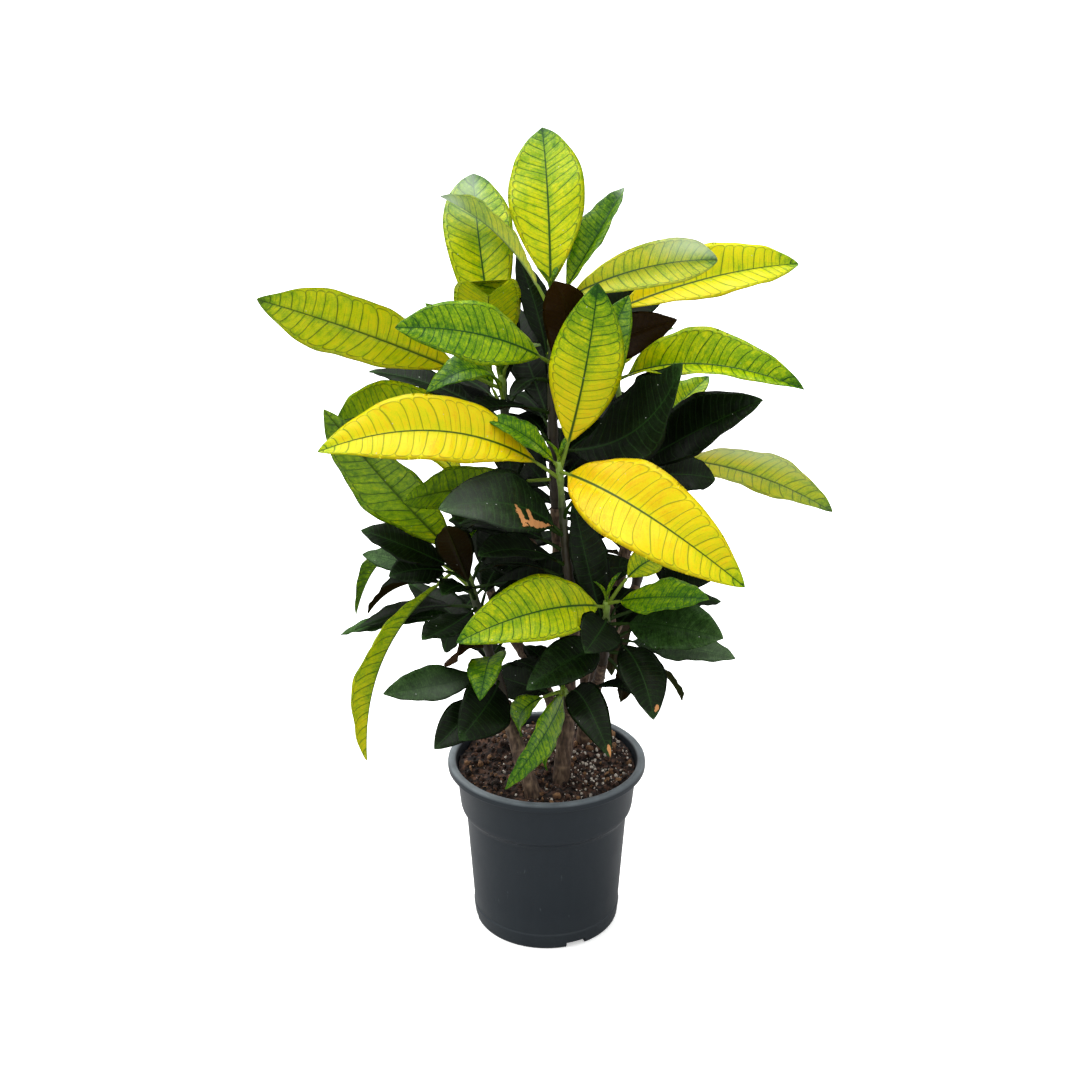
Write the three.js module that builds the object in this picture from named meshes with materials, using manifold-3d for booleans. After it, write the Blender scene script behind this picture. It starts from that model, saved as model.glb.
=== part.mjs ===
// A potted croton: a bushy plant with broad yellow, green and near-black leaves on three woody
// stems, standing in lumpy potting soil in a moulded nursery pot.
// Millimetres, +Z up, origin on the ground at the centre of the pot's foot. The photographed
// side faces -Y.
import * as THREE from "three";
import { mergeVertices } from "three/addons/utils/BufferGeometryUtils.js";
import Module from "manifold-3d";

const wasm = await Module();
wasm.setup();

// Driving dimensions of the pot and what stands in it.
const POT_HEIGHT = 190;
const RIM_RADIUS = 105;
const FOOT_RADIUS = 77.6;
const POT_SIDES = 32;
const WALL = 1.8;
const FLOOR_TOP = 7;
const SOIL_LEVEL = 179;
const GAP = 0.35;

// A leaf: the thickness of its blade, the radius of its petiole, the stations along the blade, the
// points across a broad and a narrow one, and how its halves curl and its margins wave, as shares
// of its half width.
const BLADE = 1.4;
const PETIOLE_RADIUS = 2.1;
const STATIONS = [0.17, 0.37, 0.57, 0.76, 0.91];
const BROAD = 60;
const ACROSS_BROAD = [-1, -0.5, 0, 0.5, 1];
const ACROSS_NARROW = [-1, 0, 1];
const CURL = 0.15;
const MARGIN_WAVE = 0.07;
const MARGIN_WAVES = 2.5;

const COLOURS = {
  pot: 0x3d444a,
  soil: 0x2e1f16,
  bark: 0x4a382a,
  young: 0xc6cf22,
  old: 0x16301c,
};

// Joins

// A closed mesh with shared vertices as a solid.
function solidFrom(vertices, triangles) {
  return new wasm.Manifold(
    new wasm.Mesh({
      numProp: 3,
      vertProperties: new Float32Array(vertices),
      triVerts: new Uint32Array(triangles),
    }),
  );
}

// The same, turned outwards if its triangles face inwards.
function outwards(vertices, triangles) {
  const solid = solidFrom(vertices, triangles);
  if (solid.volume() > 0) return solid;
  const turned = [];
  for (let i = 0; i < triangles.length; i += 3) {
    turned.push(triangles[i], triangles[i + 2], triangles[i + 1]);
  }
  return solidFrom(vertices, turned);
}

// A three.js geometry as a solid.
function solidOf(geometry) {
  const bare = geometry.clone();
  bare.deleteAttribute("normal");
  bare.deleteAttribute("uv");
  const merged = mergeVertices(bare, 1e-3);
  return outwards(merged.attributes.position.array, merged.index.array);
}

// The solid as a mesh, without the loose scraps that a join can leave.
function meshOf(name, solid, colour, roughness) {
  const bodies = solid.decompose();
  const whole = bodies.reduce((a, b) => (b.volume() > a.volume() ? b : a));
  const { vertProperties, triVerts } = whole.getMesh();
  const geometry = new THREE.BufferGeometry();
  geometry.setAttribute("position", new THREE.BufferAttribute(vertProperties, 3));
  geometry.setIndex(new THREE.BufferAttribute(triVerts, 1));
  geometry.computeVertexNormals();
  const material = new THREE.MeshStandardMaterial({ color: colour, roughness, metalness: 0 });
  const mesh = new THREE.Mesh(geometry, material);
  mesh.name = name;
  return mesh;
}

// Closes a stack of rings, each with the same number of points, into one solid.
function loft(rings) {
  const count = rings[0].length;
  const vertices = rings.flat().flatMap((p) => [p.x, p.y, p.z]);
  const triangles = [];
  for (let i = 0; i < rings.length - 1; i++) {
    for (let j = 0; j < count; j++) {
      const a = i * count + j;
      const b = i * count + ((j + 1) % count);
      triangles.push(a, b, b + count, a, b + count, a + count);
    }
  }
  const last = (rings.length - 1) * count;
  for (let j = 1; j < count - 1; j++) {
    triangles.push(0, j + 1, j, last, last + j, last + j + 1);
  }
  return outwards(vertices, triangles);
}

// A round stem through the points, its radius going evenly from first to last, its ends level.
function stem(points, first, last, sides = 7, steps = points.length * 2 - 2) {
  const curve = new THREE.CatmullRomCurve3(points.map((p) => new THREE.Vector3(...p)));
  const { normals, binormals } = curve.computeFrenetFrames(steps);
  const rings = [];
  for (let i = 0; i <= steps; i++) {
    const centre = curve.getPointAt(i / steps);
    const radius = THREE.MathUtils.lerp(first, last, i / steps);
    const tangent = curve.getTangentAt(i / steps);
    const isEnd = i === 0 || i === steps;
    const ring = [];
    for (let j = 0; j < sides; j++) {
      const angle = (2 * Math.PI * j) / sides;
      const point = centre
        .clone()
        .addScaledVector(normals[i], radius * Math.cos(angle))
        .addScaledVector(binormals[i], radius * Math.sin(angle));
      if (isEnd) point.addScaledVector(tangent, (centre.z - point.z) / tangent.z);
      ring.push(point);
    }
    rings.push(ring);
  }
  return loft(rings);
}

// Pot

// Half of the pot's section, from the middle of its floor round the wall and back: a flat pad and
// a foot ring that it stands on, a plain tapered body, a stepped collar and a rolled lip.
const POT_SECTION = [
  [0, 0],
  [14, 0],
  [16, FLOOR_TOP - 2.5],
  [FOOT_RADIUS - 7, FLOOR_TOP - 2.5],
  [FOOT_RADIUS - 6, 0],
  [FOOT_RADIUS - 1, 0],
  [FOOT_RADIUS, 1.5],
  [79.4, 17],
  [78.5, 18.5],
  [86, 128],
  [87.4, 131.5],
  [91, 135],
  [92, 139],
  [96.3, 181.6],
  [104.2, 181.6],
  [RIM_RADIUS, 182.8],
  [RIM_RADIUS, 187.2],
  [103.4, 189.4],
  [101.4, POT_HEIGHT],
  [98.6, 189.2],
  [97, 187],
  [96.3 - WALL, 180],
  [92 - WALL, 139],
  [91 - WALL, 137],
  [86.2 - WALL, 133],
  [86 - WALL, 128],
  [78.4 - WALL, 17],
  [77.8 - WALL, FLOOR_TOP + 2],
  [75, FLOOR_TOP],
  [0, FLOOR_TOP],
];
const DRAIN = { holes: 6, radius: 5.5, circle: 46, sides: 8 };
const NOTCH = { wide: 22, high: 6, deep: 16, angles: [-66, -170, 54] };

function lathe(section, sides) {
  const points = section.map(([r, z]) => new THREE.Vector2(r, z));
  return solidOf(new THREE.LatheGeometry(points, sides).rotateX(Math.PI / 2));
}

function pot() {
  let body = lathe(POT_SECTION, POT_SIDES);
  for (let i = 0; i < DRAIN.holes; i++) {
    const angle = (2 * Math.PI * (i + 0.5)) / DRAIN.holes;
    const hole = new THREE.CylinderGeometry(DRAIN.radius, DRAIN.radius, 3 * FLOOR_TOP, DRAIN.sides);
    hole.rotateX(Math.PI / 2);
    hole.translate(DRAIN.circle * Math.cos(angle), DRAIN.circle * Math.sin(angle), 0);
    body = body.subtract(solidOf(hole));
  }
  for (const degrees of NOTCH.angles) {
    const notch = new THREE.BoxGeometry(NOTCH.deep, NOTCH.wide, 2 * NOTCH.high);
    notch.translate(FOOT_RADIUS, 0, 0);
    notch.rotateZ(THREE.MathUtils.degToRad(degrees));
    body = body.subtract(solidOf(notch));
  }
  return body;
}

// Soil

// Lumps and hollows of the soil's top, with two mounds against the back of the rim.
function soilTop(x, y) {
  const lumps = 2.2 * Math.sin(x / 17 + 1) * Math.cos(y / 13);
  const crumbs = 1.6 * Math.sin(x / 7.3) * Math.sin(y / 9.1 + 2);
  const right = 6 * Math.exp(-((x - 60) ** 2 + (y - 55) ** 2) / 900);
  const left = 6 * Math.exp(-((x + 50) ** 2 + (y - 55) ** 2) / 900);
  return SOIL_LEVEL + lumps + crumbs + right + left;
}

// The soil follows the inside of the pot, a gap away from it.
const SOIL_SECTION = [
  [0, FLOOR_TOP + GAP],
  [75 - 2 * GAP, FLOOR_TOP + GAP],
  [77.8 - WALL - GAP, FLOOR_TOP + 2 + GAP],
  [86 - WALL - GAP, 128],
  [86.2 - WALL - GAP, 133 + GAP],
  [91 - WALL - GAP, 137 + GAP],
  [92 - WALL - GAP, 139],
  [95.3 - WALL - GAP, 174],
];
const SOIL_RINGS = [0.86, 0.7, 0.54, 0.38, 0.2];

function soil(stems) {
  const rings = SOIL_SECTION.slice(1).map(([radius, z]) => ringAt(radius, () => z));
  const edge = SOIL_SECTION.at(-1)[0];
  for (const share of SOIL_RINGS) rings.push(ringAt(edge * share, soilTop));
  const body = loft(rings);
  return stems.reduce((left, one) => left.subtract(one), body);
}

function ringAt(radius, height) {
  const ring = [];
  for (let j = 0; j < POT_SIDES; j++) {
    const angle = (2 * Math.PI * j) / POT_SIDES;
    const x = radius * Math.cos(angle);
    const y = radius * Math.sin(angle);
    ring.push(new THREE.Vector3(x, y, height(x, y)));
  }
  return ring;
}

// Woody stems: the route of each from inside the soil, then its branches.
const STEMS = {
  stem_left: {
    route: [
      [-12, -70, 115],
      [-14, -67, 178],
      [-28, -58, 225],
      [-43, -48, 277],
    ],
    radius: [9, 7],
    branches: [],
  },
  stem_middle: {
    route: [
      [14, -36, 115],
      [15, -32, 178],
      [22, -20, 252],
      [20, -12, 330],
      [13, -5, 410],
      [9, 0, 470],
    ],
    radius: [9.5, 6],
    branches: [
      [
        [21, -20, 248],
        [22, -30, 260],
        [22, -40, 270],
      ],
      [
        [20, -14, 312],
        [26, -38, 345],
        [26, -58, 380],
      ],
      [
        [20, -12, 335],
        [0, 8, 385],
        [-22, 22, 440],
        [-36, 27, 500],
      ],
      [
        [19, -25, 225],
        [-5, 15, 270],
        [-45, 52, 320],
        [-60, 70, 350],
      ],
    ],
  },
  stem_right: {
    route: [
      [38, 46, 115],
      [40, 45, 178],
      [50, 28, 250],
      [66, 18, 340],
      [84, 14, 440],
    ],
    radius: [9.5, 6],
    branches: [
      [
        [50, 27, 252],
        [54, -8, 285],
        [56, -44, 320],
      ],
      [
        [60, 22, 300],
        [80, 50, 330],
        [95, 70, 355],
      ],
      [
        [44, 38, 210],
        [40, 70, 300],
        [35, 95, 400],
      ],
    ],
  },
};
const BRANCH_RADIUS = [6.5, 5];

function woodyStem({ route, radius, branches }, grow = 0) {
  let wood = stem(route, radius[0] + grow, radius[1] + grow);
  for (const branch of branches) {
    wood = wood.add(stem(branch, BRANCH_RADIUS[0] + grow, BRANCH_RADIUS[1] + grow));
  }
  return wood;
}

// Shoots: the leafy end of each branch. Below the split stand the old dark leaves, above it the
// young bright ones. A leaf states the height that it grows from, its tip, its width, how far its
// middle arches out of its chord and sways to the side, the roll of its blade in degrees, the
// fold of its halves, its petiole, and where along the blade it is widest.
const SHOOTS = {
  top: {
    axis: [
      [9, 0, 470],
      [6, 0, 540],
      [4, 0, 620],
      [3, 0, 690],
    ],
    split: 612,
    leaves: [
      [672, [-5, 95, 830], 80, 15, -5, 15, 20, 20, 0.55],
      [672, [160, -5, 720], 60, 36, 10, -75, 45, 24, 0.66],
      [668, [-105, 85, 765], 54, 15, 5, -40, 35, 30, 0.55],
      [665, [75, 75, 775], 48, 5, -5, -5, 40, 30, 0.5],
      [640, [250, 75, 700], 70, 25, 0, -40, 30, 70, 0.55],
      [618, [-140, -70, 670], 66, 15, -5, 55, 15, 15, 0.5],
      [604, [117, 90, 663], 52, 20, 10, -45, 35, 30, 0.55],
      [596, [-30, 70, 710], 34, 10, 0, 0, 20, 30, 0.5],
      [600, [125, 5, 660], 44, 15, -5, 90, 5, 30, 0.5],
      [586, [6, -60, 711], 48, 9, 15, -8, 25, 15, 0.6],
      [530, [123, -85, 641], 96, -20, -20, -56, 18, 20, 0.55],
      [500, [-132, -130, 523], 48, 15, -5, -75, 20, 30, 0.55],
      [485, [-26, 66, 508], 42, 6, 0, 60, 15, 12, 0.5],
      [552, [-41, 130, 651], 45, 10, 0, 30, 20, 20, 0.5],
    ],
  },
  upper_left: {
    axis: [
      [-36, 27, 500],
      [-42, 26, 560],
      [-45, 25, 600],
    ],
    split: 578,
    leaves: [
      [590, [-75, 142, 779], 76, 25, 5, 10, 25, 30, 0.65],
      [587, [-55, -10, 695], 80, 12, -5, -20, 35, 20, 0.65],
      [585, [-270, -40, 690], 76, 9, 0, -65, 10, 45, 0.6],
      [556, [-121, 60, 664], 42, 8, -5, 20, 25, 30, 0.5],
      [562, [-61, 85, 703], 38, 8, -5, -10, 25, 30, 0.5],
      [565, [-115, -40, 600], 42, 35, -5, 25, 20, 15, 0.55],
      [552, [-195, -85, 585], 68, 35, 0, -90, 25, 30, 0.55],
      [545, [-180, 55, 595], 42, 15, 0, 15, 20, 30, 0.5],
    ],
  },
  front: {
    axis: [
      [26, -58, 380],
      [20, -60, 430],
      [17, -60, 460],
      [11, -60, 538],
    ],
    split: 510,
    leaves: [
      [532, [78, 4, 684], 57, 5, 0, -20, 20, 30, 0.5],
      [530, [-60, -70, 585], 34, 10, 0, 30, 20, 10, 0.5],
      [528, [46, -54, 708], 69, 5, -5, -72, 5, 30, 0.5],
      [528, [175, -195, 465], 88, 40, 0, -45, 25, 14, 0.45],
      [520, [-210, -115, 565], 76, 30, -20, 45, 20, 28, 0.5],
      [460, [-100, -130, 515], 70, 20, -10, 45, 20, 20, 0.45],
      [430, [-65, -120, 465], 52, 10, -5, 15, 20, 15, 0.5],
    ],
  },
  left: {
    axis: [
      [-43, -48, 277],
      [-52, -43, 310],
      [-60, -38, 335],
      [-70, -31, 375],
      [-84, -20, 424],
    ],
    split: 412,
    leaves: [
      [420, [-205, -95, 600], 76, -5, 0, -40, 0, 25, 0.45],
      [418, [-183, -70, 222], 56, 32, 0, -32, 50, 30, 0.62],
      [404, [-182, -45, 463], 50, 10, 5, 30, 20, 30, 0.5],
      [388, [-190, 25, 410], 36, 12, 0, 30, 20, 30, 0.5],
      [400, [-155, -60, 420], 44, 10, -5, 35, 20, 30, 0.5],
      [392, [-203, 55, 329], 36, 55, 0, -5, 40, 30, 0.5],
      [388, [-185, 10, 350], 36, 25, 0, 5, 40, 30, 0.5],
      [375, [-199, 7, 333], 40, 5, -10, 10, 20, 30, 0.5],
      [375, [-120, -110, 375], 50, 0, 5, 0, 15, 15, 0.5],
      [365, [-218, 35, 314], 40, 10, 0, 15, 20, 30, 0.5],
      [335, [-88, -84, 340], 48, 12, -5, -60, 20, 12, 0.5],
      [318, [-65, -120, 315], 44, 20, 10, -20, 20, 10, 0.5],
      [310, [-160, -105, 315], 44, 5, 5, 35, 25, 25, 0.5],
      [300, [-85, -135, 280], 60, 15, 0, 45, 20, 15, 0.5],
      [290, [-110, -125, 265], 42, 15, 0, 35, 20, 30, 0.5],
      [320, [-149, 91, 350], 47, 10, 0, 0, 20, 20, 0.5],
      [387, [-95, -105, 489], 39, 10, 0, -30, 20, 20, 0.5],
      [394, [93, -22, 417], 48, 10, 0, -60, 20, 20, 0.5],
    ],
  },
  right: {
    axis: [
      [84, 14, 440],
      [80, 20, 500],
      [76, 20, 540],
      [68, 20, 602],
    ],
    split: 508,
    leaves: [
      [596, [235, -90, 617], 77, 25, 5, -40, 45, 14, 0.42],
      [525, [165, 75, 585], 44, 5, -5, -20, 30, 20, 0.55],
      [515, [300, 70, 440], 64, 20, -5, 55, 20, 60, 0.5],
      [500, [200, -75, 603], 74, 6, 0, -58, 30, 30, 0.45],
      [490, [171, 30, 490], 50, 10, 0, -35, 20, 30, 0.5],
      [492, [143, 2, 560], 36, 0, 0, -40, 20, 20, 0.55],
    ],
  },
  low_right: {
    axis: [
      [56, -44, 320],
      [57, -52, 340],
      [58, -62, 365],
      [58, -70, 398],
    ],
    split: 384,
    leaves: [
      [395, [150, -140, 430], 50, 5, 0, -25, 15, 18, 0.45],
      [391, [-85, -150, 390], 73, 20, -5, 45, 25, 12, 0.4],
      [391, [115, -25, 425], 32, 25, 5, -40, 15, 28, 0.5],
      [358, [25, -45, 495], 48, 5, 5, 30, 25, 12, 0.5],
      [376, [35, -140, 375], 50, 10, 0, 35, 20, 15, 0.5],
      [375, [175, -30, 380], 44, 10, 0, -10, 20, 30, 0.5],
      [370, [165, -140, 390], 64, 10, 0, -35, 20, 30, 0.5],
      [355, [100, -160, 315], 48, 20, 5, -5, 20, 30, 0.5],
      [350, [180, -120, 360], 48, 5, 0, -15, 15, 30, 0.5],
      [335, [140, -20, 265], 36, 15, -5, 5, 20, 30, 0.5],
      [330, [75, -40, 273], 28, 10, 0, 10, 20, 30, 0.5],
      [345, [-20, -135, 334], 50, 12, 0, 35, 20, 12, 0.42],
    ],
  },
  low_front: {
    axis: [
      [22, -40, 270],
      [20, -60, 290],
      [16, -70, 303],
    ],
    split: 295,
    leaves: [
      [300, [-40, -185, 255], 44, 15, -10, 80, 15, 10, 0.4],
      [300, [-25, -60, 245], 36, 25, 0, 40, 25, 15, 0.5],
      [300, [0, -80, 216], 32, 10, 0, -15, 20, 12, 0.5],
      [276, [60, -160, 275], 42, 35, 15, -35, 25, 30, 0.5],
      [286, [-52, 18, 275], 40, 10, 0, 60, 20, 20, 0.5],
    ],
  },
  back: {
    axis: [
      [35, 95, 400],
      [30, 105, 480],
      [25, 112, 560],
    ],
    split: 500,
    leaves: [],
  },
  back_left: {
    axis: [
      [-60, 70, 350],
      [-68, 84, 400],
      [-75, 95, 450],
    ],
    split: 410,
    leaves: [
      [359, [-113, 104, 263], 54, 10, 0, 60, 20, 20, 0.5],
    ],
  },
  back_right: {
    axis: [
      [95, 70, 355],
      [106, 84, 400],
      [115, 95, 450],
    ],
    split: 410,
    leaves: [
      [364, [74, 129, 221], 45, 10, 0, 0, 20, 20, 0.5],
      [377, [175, 25, 384], 48, 10, 0, -60, 20, 20, 0.5],
    ],
  },
};
const SHOOT_RADIUS = [5, 4, 2.6];

// Leaf shape

// The point of a shoot's axis at a height.
function axisPoint(axis, z) {
  const i = Math.max(1, axis.findIndex((p) => p[2] >= z));
  const [a, b] = [new THREE.Vector3(...axis[i - 1]), new THREE.Vector3(...axis[i])];
  return a.lerp(b, (z - a.z) / (b.z - a.z));
}

// Half of the blade's width at a share of its length, as a share of its widest.
function outline(share, widest) {
  if (share < widest) return Math.sin((Math.PI / 2) * (share / widest)) ** 0.9;
  return Math.max(0, Math.cos((Math.PI / 2) * ((share - widest) / (1 - widest)))) ** 0.8;
}

// A leaf's shape: the share of its midrib that is petiole, the point and cross directions at a
// share of its midrib, and the middle surface of its blade.
function leafShape(base, [, tip, width, arch, sway, roll, fold, petiole, widest]) {
  const end = new THREE.Vector3(...tip);
  const along = end.clone().sub(base);
  const length = along.length();
  along.normalize();
  const up = new THREE.Vector3(0, 0, 1).addScaledVector(along, -along.z).normalize();
  const side = up.clone().cross(along);
  const turn = THREE.MathUtils.degToRad(roll);
  const face = up.clone().multiplyScalar(Math.cos(turn)).addScaledVector(side, Math.sin(turn));
  const left = side.clone().multiplyScalar(Math.cos(turn)).addScaledVector(up, -Math.sin(turn));
  const lift = face.multiplyScalar((arch * 4) / 3).addScaledVector(left, (sway * 4) / 3);
  const near = base.clone().addScaledVector(along, length / 3).add(lift);
  const far = base.clone().addScaledVector(along, (length * 2) / 3).add(lift);
  const midrib = new THREE.CubicBezierCurve3(base, near, far, end);
  const start = Math.min(petiole / length, 0.4);
  const slope = THREE.MathUtils.degToRad(fold);
  const at = (t) => {
    const tangent = midrib.getTangent(t);
    const across = left.clone().addScaledVector(tangent, -left.dot(tangent)).normalize();
    return { point: midrib.getPoint(t), across, above: tangent.cross(across) };
  };
  const surface = (share, place, raised = 0) => {
    const { point, across, above } = at(start + (1 - start) * share);
    const half = (width / 2) * outline(share, widest);
    const wave = MARGIN_WAVE * Math.sin(2 * Math.PI * MARGIN_WAVES * share + base.z + place);
    const rise = half * (Math.abs(place) * Math.sin(slope) + (wave - CURL) * place ** 2);
    return point
      .addScaledVector(across, place * half * Math.cos(slope))
      .addScaledVector(above, rise + raised);
  };
  return { start, at, surface };
}

// A leaf as one closed solid: a petiole from the stem's heart, then a thin folded blade with
// sharp margins, its two faces split alike.
function leaf(base, row) {
  const { start, at, surface } = leafShape(base, row);
  const places = row[2] < BROAD ? ACROSS_NARROW : ACROSS_BROAD;
  const half = places.length - 1;
  const round = 2 * half;
  const rings = [];
  for (const [t, radius] of [[0, PETIOLE_RADIUS], [start * 0.9, PETIOLE_RADIUS * 0.75]]) {
    const { point, across, above } = at(t);
    const ring = [];
    for (let j = 0; j < round; j++) {
      const angle = Math.PI * (1 - j / half);
      ring.push(
        point
          .clone()
          .addScaledVector(across, radius * Math.cos(angle))
          .addScaledVector(above, radius * Math.sin(angle)),
      );
    }
    rings.push(ring);
  }
  for (const share of STATIONS) {
    const upper = places.map((v) => surface(share, v, Math.abs(v) < 1 ? BLADE / 2 : 0));
    const lower = places.slice(1, -1).reverse().map((v) => surface(share, v, -BLADE / 2));
    rings.push([...upper, ...lower]);
  }
  const vertices = [...rings.flat(), surface(1, 0)].flatMap((p) => [p.x, p.y, p.z]);
  const triangles = [];
  for (let i = 0; i < rings.length - 1; i++) {
    for (let j = 0; j < round; j++) {
      const a = i * round + j;
      const b = i * round + ((j + 1) % round);
      const place = j < half ? j : round - 1 - j;
      if (place < half / 2 === j < half) triangles.push(a, b, b + round, a, b + round, a + round);
      else triangles.push(a, b, a + round, b, b + round, a + round);
    }
  }
  const end = (rings.length - 1) * round;
  for (let j = 0; j < round; j++) {
    triangles.push(end + j, end + ((j + 1) % round), end + round);
    if (j > 0 && j < round - 1) triangles.push(0, j + 1, j);
  }
  return outwards(vertices, triangles);
}

// Leaves on the far side

// The leaves that the photographed side hides grow by the golden angle, so many young and old ones
// on a shoot, the first of them heading its turn in degrees. Each takes the first place where it
// stays in the crown and is clear of every other leaf and stem, or is left out. Each try makes it
// a share smaller.
const GOLDEN_ANGLE = 137.5;
const CLEAR = 8.5;
const TRIES = 30;
const SHRINK = 0.02;
const CROWN = { side: 170, front: -120, back: 240 };
const YOUNG_LEAF = { length: 150, rise: 34, width: 0.38 };
const OLD_LEAF = { length: 135, rise: 14, width: 0.4 };
const HIDDEN = {
  top: { young: 0, old: 12, turn: 140 },
  upper_left: { young: 2, old: 8, turn: 180 },
  front: { young: 0, old: 7, turn: 60 },
  left: { young: 0, old: 8, turn: 70 },
  right: { young: 0, old: 9, turn: 100 },
  low_right: { young: 0, old: 8, turn: 220 },
  low_front: { young: 0, old: 2, turn: 60 },
  back: { young: 5, old: 9, turn: 260 },
  back_left: { young: 4, old: 5, turn: 200 },
  back_right: { young: 4, old: 5, turn: 20 },
};

// A seeded draw between 0 and 1.
function draw(seed) {
  const value = Math.sin(seed * 12.9898) * 43758.5453;
  return value - Math.floor(value);
}

// Points spread over a leaf, and along the stems, to judge how close a new leaf comes.
function bladePoints(base, row) {
  const { surface } = leafShape(base, row);
  const points = [];
  for (let i = 0; i <= 12; i++) {
    for (const across of [-0.9, -0.45, 0, 0.45, 0.9]) points.push(surface(i / 12, across));
  }
  for (const share of [0.25, 0.5, 0.75]) points.push(base.clone().lerp(surface(0, 0), share));
  return points;
}

function stemPoints() {
  const lines = Object.values(STEMS).flatMap(({ route, branches }) => [route, ...branches]);
  lines.push(...Object.values(SHOOTS).map(({ axis }) => axis));
  const points = [];
  for (const line of lines) {
    for (let i = 1; i < line.length; i++) {
      const [from, to] = [new THREE.Vector3(...line[i - 1]), new THREE.Vector3(...line[i])];
      const steps = Math.ceil(from.distanceTo(to) / 8);
      for (let k = 0; k < steps; k++) points.push(from.clone().lerp(to, k / steps));
    }
  }
  return points;
}

function isClear(points, others, reach) {
  return points.every((p) => others.every((q) => p.distanceTo(q) > reach));
}

// One try at a hidden leaf: its heading in degrees, the seed of its small differences and its size
// as a share.
function hiddenLeaf(z, base, kind, heading, seed, size) {
  const rise = THREE.MathUtils.degToRad(kind.rise + 36 * (draw(seed) - 0.5));
  const length = size * kind.length * (0.85 + 0.3 * draw(seed + 0.3));
  const turned = THREE.MathUtils.degToRad(heading);
  const tip = [
    base.x + length * Math.cos(rise) * Math.cos(turned),
    base.y + length * Math.cos(rise) * Math.sin(turned),
    base.z + length * Math.sin(rise),
  ];
  const roll = 30 * (draw(seed + 0.6) - 0.5);
  const arch = 10 + 12 * draw(seed + 0.9);
  return [z, tip, length * kind.width, arch, 0, roll, 20, 26, 0.5];
}

function isInCrown([x, y]) {
  return Math.abs(x) < CROWN.side && y > CROWN.front && y < CROWN.back;
}

function growHidden() {
  const blades = [];
  const wood = stemPoints();
  for (const { axis, leaves } of Object.values(SHOOTS)) {
    for (const row of leaves) blades.push(...bladePoints(axisPoint(axis, row[0]), row));
  }
  let seed = 0;
  for (const [name, { young, old, turn }] of Object.entries(HIDDEN)) {
    const { axis, split, leaves } = SHOOTS[name];
    for (let k = 0; k < young + old; k++) {
      const isYoung = k < young;
      const low = isYoung ? split + 6 : axis[0][2] + 8;
      const high = isYoung ? axis.at(-1)[2] - 4 : split - 8;
      const place = isYoung ? (k + 0.5) / young : (k - young + 0.5) / old;
      const z = high - (high - low) * place;
      const base = axisPoint(axis, z);
      const kind = isYoung ? YOUNG_LEAF : OLD_LEAF;
      for (let attempt = 0; attempt < TRIES; attempt++) {
        seed += 1;
        const heading = turn + GOLDEN_ANGLE * k + 31 * attempt;
        const row = hiddenLeaf(z, base, kind, heading, seed, 1 - SHRINK * attempt);
        if (!isInCrown(row[1])) continue;
        const points = bladePoints(base, row);
        const petiole = points.filter((p) => p.distanceTo(base) > 14);
        const blade = points.filter((p) => p.distanceTo(base) > 24);
        if (isClear(petiole, blades, CLEAR) && isClear(blade, wood, CLEAR)) {
          leaves.push(row);
          blades.push(...points);
          break;
        }
      }
    }
  }
}

// Part of a shoot's own green stem, between two heights.
function shootStem(axis, low, high, first, last) {
  const heights = [low, ...axis.map((p) => p[2]).filter((z) => z > low + 5 && z < high - 5), high];
  return stem(heights.map((z) => axisPoint(axis, z).toArray()), first, last, 6, heights.length - 1);
}

function shoot(name, { axis, split, leaves }) {
  const ends = [axis[0][2] + GAP, split - GAP / 2, split + GAP / 2, axis.at(-1)[2]];
  let old = shootStem(axis, ends[0], ends[1], SHOOT_RADIUS[0], SHOOT_RADIUS[1]);
  let young = shootStem(axis, ends[2], ends[3], SHOOT_RADIUS[1], SHOOT_RADIUS[2]);
  for (const row of leaves) {
    const one = leaf(axisPoint(axis, row[0]), row);
    if (row[0] > split) young = young.add(one);
    else old = old.add(one);
  }
  return [
    meshOf(`shoot_${name}_old`, old, COLOURS.old, 0.4),
    meshOf(`shoot_${name}_young`, young, COLOURS.young, 0.45),
  ];
}

growHidden();

const croton = new THREE.Group();
const woods = Object.entries(STEMS);
const holes = woods.map(([, row]) => woodyStem({ ...row, branches: [] }, GAP));
croton.add(meshOf("pot", pot(), COLOURS.pot, 0.55));
croton.add(meshOf("soil", soil(holes), COLOURS.soil, 0.95));
for (const [name, row] of woods) croton.add(meshOf(name, woodyStem(row), COLOURS.bark, 0.85));
for (const [name, row] of Object.entries(SHOOTS)) croton.add(...shoot(name, row));

export default croton;
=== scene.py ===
# A potted croton: a bushy house plant with broad yellow, green and near-black veined leaves on
# three woody plants, in a moulded nursery pot of potting mix. Places are in millimetres and are
# turned to metres where a mesh is made. +Z is up and the photographed side faces -Y.
import math
import random

import bmesh
import bpy
import numpy as np
from mathutils import Euler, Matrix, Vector, noise


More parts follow.
